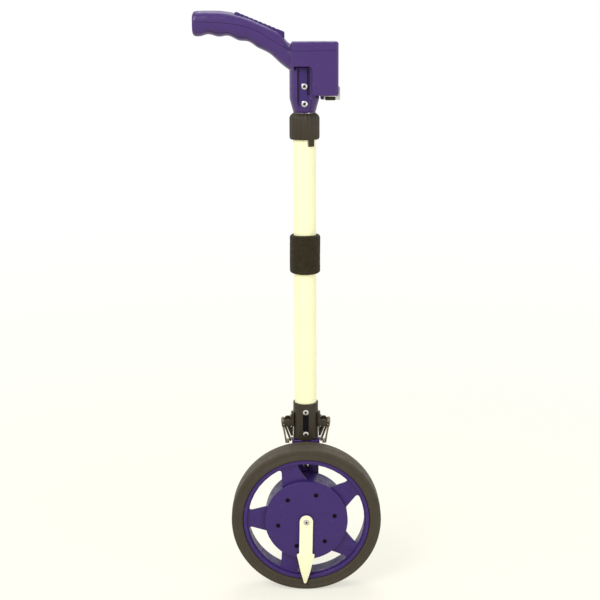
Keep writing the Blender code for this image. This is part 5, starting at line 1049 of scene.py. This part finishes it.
def grip_form(name, shrink=0.0):
    """The whole grip, or a core of it that is smaller all round."""
    centre_z, half_height, half_width = grip_size(STATIONS[0], shrink)
    only()
    bpy.ops.mesh.primitive_circle_add(vertices=SECTION_POINTS, radius=1, fill_type="NGON", location=(0, 0, 0))
    form = bpy.context.object
    form.name = name
    for k, vertex in enumerate(form.data.vertices):
        turn = math.tau * (k + 0.5) / SECTION_POINTS
        across, up = squared(math.cos(turn)) * half_width, squared(math.sin(turn)) * half_height
        vertex.co = metres((BOX_BACK - STATIONS[0] * GRIP_REACH, pole_y + across, centre_z + up))
    open_mesh(form)
    for old, new in zip(STATIONS, STATIONS[1:]):
        (z0, h0, w0), (z1, h1, w1) = grip_size(old, shrink), grip_size(new, shrink)
        centre = metres((BOX_BACK - new * GRIP_REACH, pole_y, z1))
        extrude(metres(((old - new) * GRIP_REACH, 0, z1 - z0)), (1, w1 / w0, h1 / h0), centre)
    for thickness, rise in END_CAP:
        bpy.ops.mesh.inset(thickness=thickness * MM, depth=0 if shrink else rise * MM)
    close_mesh()
    return form


grip = grip_form("grip_form")
print("grip form faces:", len(grip.data.polygons))

# %% [markdown]
# The box is an L-shaped outline as thick as the box is deep, with all its edges bevelled at once, and the
# neck is turned below it. The forms are joined and copied: each shell keeps its side of a cutter that
# follows the parting line, with a thin gap between them, and is hollowed where the counter sits.

# %% The head's joined form
BOX_EDGE = 2.2
INNER_CORNER = 4.0
NECK_RADIUS, NECK_END = 15.1, 11.3
NECK_BOTTOM, TAPER_TOP = 505.3, 519.0


def box_outline(inset, top, step_x):
    return [(BOX_BACK + inset, top), (BOX_FRONT - inset, top), (BOX_FRONT - inset, BOX_BOTTOM + inset),
            (step_x, BOX_BOTTOM + inset), (step_x, STEP_Z + inset), (BOX_BACK + inset, STEP_Z + inset)]


outline = box_outline(0, BOX_TOP, STEP_X)
outline[4:5] = corner((STEP_X - INNER_CORNER, STEP_Z - INNER_CORNER), INNER_CORNER, 0, 90, 6)
head = flat("head_form", [outline], *about_pole(BOX_HALF), BOX_EDGE, 4)
join(head, grip)
profile = [(0, STEP_Z + 1), (NECK_RADIUS - 2.2, STEP_Z + 1)]
profile += corner((NECK_RADIUS - 2.2, STEP_Z - 2.2), 2.2, 60, 0, 4)
profile += [(NECK_RADIUS, TAPER_TOP + 1), (NECK_RADIUS - 0.1, TAPER_TOP), (NECK_END, NECK_BOTTOM + 0.4),
            (NECK_END - 0.4, NECK_BOTTOM), (0, NECK_BOTTOM)]
neck = turned("neck_form", profile, 96, *ON_POLE, closed=False)
print("head form faces:", len(head.data.polygons))

# %% [markdown]
# The front of the neck has a channel with the pole's two screws, a deeper groove on each side of them, and
# a bank that fills the corner under the box.

# %% Cutters for the shells
WALL = 2.0
ROOM_STEP = 12.5
CHANNEL_LEFT, CHANNEL_RIGHT = -6.4, 5.2
CHANNEL_FOOT, CHANNEL_TOP = 508.0, 549.3
CHANNEL_ROUND = 3.0
CHANNEL_FLOOR, GROOVE_FLOOR = pole_y - 13.3, pole_y - 11.6
GROOVES = (((-7.3, -4.8), 509.0), ((2.7, 5.4), 523.5))
BANK_X, BANK_Y, BANK_FOOT = 8.6, 14.6, 521.5
GAP = 0.4
LINE_STEPS = 40


def channel_cutter():
    """The screws' channel down the neck, with one round corner at its top."""
    loop = [(CHANNEL_LEFT, CHANNEL_FOOT), (CHANNEL_RIGHT, CHANNEL_FOOT)]
    loop += corner((CHANNEL_RIGHT - CHANNEL_ROUND, CHANNEL_TOP - CHANNEL_ROUND), CHANNEL_ROUND, 0, 90, 8)
    return flat("neck_channel", [loop + [(CHANNEL_LEFT, CHANNEL_TOP)]], pole_y - BOX_HALF, CHANNEL_FLOOR)


def parting_line(lift):
    shares = [1.1 - 1.1 * k / LINE_STEPS for k in range(LINE_STEPS + 1)]
    return [(BOX_BACK - share * GRIP_REACH, grip_z(LINE_SHARES, share) + lift) for share in shares]


def below_the_line(name, lift):
    line = parting_line(lift)
    far, foot = BOX_FRONT + 4, NECK_BOTTOM - 4
    return flat(name, [line + [(far, LID_LINE + lift), (far, foot), (line[0][0], foot)]],
                *about_pole(BOX_HALF + 4))


def box_room(name):
    return flat(name, [box_outline(WALL, BOX_TOP - WALL, ROOM_STEP)], *about_pole(BOX_HALF - WALL))


# %% [markdown]
# The lower shell carries the neck, the recesses of the screws that hold the shells together, and the two
# ears of the reset lever. A tongue inside its edge reaches into the gap and keeps the light out, as the
# real shells' overlapping lips do.

# %% Lower shell
EAR_X, EAR_Z, EAR_RADIUS = 18.0, 520.4, 1.8
EAR_NEAR, EAR_FAR = 6.8, 9.0
TONGUE_INSET, LIP_INSET = 1.3, 1.0
LIP_TOP = GAP / 2 - 0.02
lower = head.copy()
lower.data = head.data.copy()
lower.name = "head_lower_shell"
bpy.context.scene.collection.objects.link(lower)
join(lower, neck, slab("channel_bank", (CHANNEL_RIGHT - 1, BANK_X), (BANK_FOOT, STEP_Z), (BANK_Y, pole_y - 9),
                       0.8, 3))
combined(lower, [below_the_line("lower_zone", -GAP / 2)], "INTERSECT")
tongue = grip_form("tongue", TONGUE_INSET)
band = flat("tongue_band", [parting_line(LIP_TOP) + parting_line(-GAP)[::-1]], *about_pole(BOX_HALF))
combined(tongue, [band], "INTERSECT")
join(lower, tongue, slab("lid_lip", (BOX_BACK + LIP_INSET, BOX_FRONT - LIP_INSET),
                         (LID_LINE - 1, LID_LINE + LIP_TOP), about_pole(BOX_HALF - LIP_INSET)))
cutters = [box_room("lower_room"), channel_cutter()]
for ends, foot in GROOVES:
    cutters.append(slab("neck_groove", ends, (foot, CHANNEL_TOP), (pole_y - BOX_HALF, GROOVE_FLOOR)))
cut(lower, *cutters)
cut(lower, on_pole("pole_way", 10.5, NECK_BOTTOM - 1, STEP_Z + 4))
recesses = []
for node in GRIP_SCREWS:
    x, foot = middle_of(node).x, box(node)[0].z
    recesses.append(drill("screw_recess", 2.9, (x, pole_y, foot - 8), (x, pole_y, foot + 1.7)))
cut(lower, *recesses)
ear = corner((EAR_X, EAR_Z), EAR_RADIUS, 180, 360, 12)
ear += [(EAR_X + EAR_RADIUS, BOX_BOTTOM + 1), (EAR_X - EAR_RADIUS, BOX_BOTTOM + 1)]
join(lower, *[flat("ear", [ear], pole_y + front, pole_y + front + EAR_FAR - EAR_NEAR, 0.3)
              for front in (-EAR_FAR, EAR_NEAR)])
dress(lower, 30, purple_grip, "lower_shell")
# Painted shade: the groove floors get the darkest purple, and the channel floor gets the wheel's darker
# purple.
lower.data.materials.append(groove_painted_shade)
lower.data.materials.append(purple)
for face in lower.data.polygons:
    for index, floor_y in ((1, GROOVE_FLOOR), (2, CHANNEL_FLOOR)):
        if abs(face.center.y / MM - floor_y) < 0.02:
            face.material_index = index
print("lower shell faces:", len(lower.data.polygons))

# %% [markdown]
# The upper shell has the pocket of the thumb lever and the opening of the window.

# %% Upper shell
THUMB_BACK, THUMB_FRONT, THUMB_TOP = -68.7, -20.5, 605.69
THUMB_HALF = 8.0
LUG_LENGTH, LUG_HEIGHT = 5.5, 9.2
ROOM = 0.6
glass_low, glass_high = box("counter_window")


def pocket_cutter():
    back, front, above = THUMB_BACK - ROOM, THUMB_FRONT + 1.5, THUMB_TOP + 4
    lug_end, lug_floor = THUMB_BACK + LUG_LENGTH + ROOM, THUMB_TOP - LUG_HEIGHT - ROOM
    loop = [(back, above), (back, lug_floor), (lug_end, lug_floor), (lug_end, 597.3), (front, 572.7),
            (front, above)]
    return flat("thumb_pocket", [loop], *about_pole(THUMB_HALF + 0.3))


def opening(name, margin, z_ends):
    """A box cutter round the window, wider than the glass by the margin."""
    return slab(name, (glass_low.x - margin, glass_high.x + margin), z_ends,
                (glass_low.y - margin, glass_high.y + margin))


upper = head
upper.name = "head_upper_shell"
cut(upper, below_the_line("upper_zone", GAP / 2), box_room("upper_room"))
cut(upper, pocket_cutter())
cut(upper, opening("window_seat", 0.3, (glass_low.z - 0.1, BOX_TOP + 1)),
    opening("window_hole", -1.5, (BOX_TOP - 6, BOX_TOP)))
dress(upper, 30, purple_grip, "upper_shell")
print("upper shell faces:", len(upper.data.polygons))

# %% [markdown]
# The thumb lever is a strip with nine shallow grooves across it, a blunt nose, and a lug at its back that
# carries its pins. Its side outline is walked along the slope, so each groove is the same bite taken at
# the next step, and the whole is extruded to the lever's width.

# %% Thumb lever
THUMB_SLOPE = math.radians(22.4)
THUMB_THICK, NOSE_THICK = 4.6, 7.0
RIBS = 9
RIB_PITCH, RIB_WIDTH, RIB_DEPTH = 4.8, 2.0, 0.5
PIVOT_X, PIVOT_Z = -66.1, 598.69
PIN_RADIUS, PIN_HALF = 1.0, 10.8


def on_thumb(along, depth):
    """A point of the side view, so far down the slope and so deep below the lever's top."""
    x = THUMB_BACK + along * math.cos(THUMB_SLOPE) - depth * math.sin(THUMB_SLOPE)
    return x, THUMB_TOP - along * math.sin(THUMB_SLOPE) - depth * math.cos(THUMB_SLOPE)


def under_thumb(x):
    """The height of the lever's underside at rest: the lever grows thicker towards its nose."""
    share = (x - THUMB_BACK - LUG_LENGTH) / (THUMB_FRONT - THUMB_BACK - LUG_LENGTH)
    thick = THUMB_THICK + (NOSE_THICK - THUMB_THICK) * max(0, share)
    return THUMB_TOP - thick / math.cos(THUMB_SLOPE) - (x - THUMB_BACK) * math.tan(THUMB_SLOPE)


loop = [on_thumb(0.3, 1.2), on_thumb(0.75, 0.45), on_thumb(1.6, 0)]
for k in range(RIBS):
    start = RIB_PITCH * (k + 1)
    for t in (0, 0.2, 0.5, 0.8, 1):
        loop.append(on_thumb(start + RIB_WIDTH * t, RIB_DEPTH * math.sin(math.pi * t)))
nose_x = THUMB_FRONT + 0.8
nose_top = THUMB_TOP - (nose_x - THUMB_BACK) * math.tan(THUMB_SLOPE)
loop += corner((nose_x - 1.8, nose_top - 1.2), 1.8, 67, 0, 5)
loop += corner((nose_x - 1.0, under_thumb(nose_x) + 1.58), 1.0, 0, -115, 5)
lug_x, lug_z = THUMB_BACK + LUG_LENGTH, THUMB_TOP - LUG_HEIGHT
loop += [(lug_x, under_thumb(lug_x)), (lug_x, lug_z), (THUMB_BACK, lug_z), (THUMB_BACK, THUMB_TOP - 2.4)]
thumb = flat("thumb_strip", [loop], *about_pole(THUMB_HALF), 0.3)
join(thumb, drill("thumb_pins", PIN_RADIUS, *[(PIVOT_X, y, PIVOT_Z) for y in about_pole(PIN_HALF)]))
dress(thumb, 32, purple, "thumb_lever")
print("thumb lever faces:", len(thumb.data.polygons))

# %% [markdown]
# The counter is five drums on one axle, read through the window. Each digit is text made into a mesh, cut
# across a few times, and wrapped round its drum, so it follows the curve. The digits climb towards +X,
# because the drums turn back towards the user as the wheel rolls.

# %% Number drums
DIGIT_HEIGHT, DIGIT_PROUD = 4.0, 0.03
DRUM_SHAFT = 1.9


def wrapped_digit(number, radius, centre):
    only()
    bpy.ops.object.text_add(location=(0, 0, 0))
    words = bpy.context.object.data
    words.body = str(number)
    words.size = DIGIT_HEIGHT * 1.4 * MM
    words.align_x = "CENTER"
    words.align_y = "CENTER"
    words.resolution_u = 3
    bpy.ops.object.convert(target="MESH")
    digit = bpy.context.object
    open_mesh(digit)
    for k in range(-3, 4):
        slice_mesh((0, k * DIGIT_HEIGHT / 7 * MM, 0), (0, 1, 0))
    bpy.ops.object.mode_set(mode="OBJECT")
    out = (radius + DIGIT_PROUD) * MM
    for vertex in digit.data.vertices:
        turn = vertex.co.y / (radius * MM) + math.radians(36) * number
        vertex.co = metres(centre) + Vector((out * math.sin(turn), -vertex.co.x, out * math.cos(turn)))
    return digit


def number_drum(k, drum_finish, number_finish):
    node = f"number_drum_{k}"
    centre, half_width, radius = middle_of(node), half_size(node, 1), half_size(node, 2) - DIGIT_PROUD
    drum = turned(f"drum_{k}", ring(DRUM_SHAFT, radius, -half_width, half_width, 0.2), 80, centre, (0, 1, 0))
    dress(drum, 30, drum_finish, node)
    digits = [wrapped_digit(number, radius - DIGIT_PROUD, centre) for number in range(10)]
    only(digits[0])
    for digit in digits:
        digit.select_set(True)
    bpy.ops.object.join()
    numbers = bpy.context.object
    numbers.name = f"drum_{k}_numbers"
    numbers.data.materials.clear()
    numbers.data.materials.append(number_finish)
    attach(numbers, body_of_node[node])


number_drum(1, red, pale_ink)
for k in range(2, 6):
    number_drum(k, white, ink)
print("drums with numbers:", 5)

# %% [markdown]
# The floor is one wide sheet. Near the wheel it is a real surface, so the wheel's shadow falls on it, and
# it fades to plain paper with distance, so no horizon shows. The paper's cream tone goes to pure white
# where it meets the world.

# %% Floor
FLOOR_SIZE = 12.0
PAPER = (1.0, 1.0, 0.92)
SHADOW_REACH = (0.1, 0.9)
SHADOW_SHARE = 0.6
bpy.ops.mesh.primitive_plane_add(size=FLOOR_SIZE, location=(0, 0, -0.0002))
floor = bpy.context.object
floor.name = "paper_floor"
settle(floor)
paper, tree, matt = new_finish("paper", Base_Color=(0.96, 0.91, 0.74), Roughness=0.9, Specular_IOR_Level=0.1)
distance = length(tree, add(tree, "TexCoord", {}).outputs["Object"])
whiter = graded(tree, distance, 0, 1, 0.3, 2.4)
bright = add(tree, "Emission", {"Color": two_tone(tree, whiter, PAPER, WHITE)})
fade = times(tree, graded(tree, distance, SHADOW_SHARE, 1, *SHADOW_REACH), seen_directly(tree))
surface = add(tree, "MixShader", {0: fade, 1: matt.outputs[0], 2: bright.outputs[0]})
feed(tree, tree.nodes["Material Output"], {"Surface": surface.outputs[0]})
floor.data.materials.append(paper)
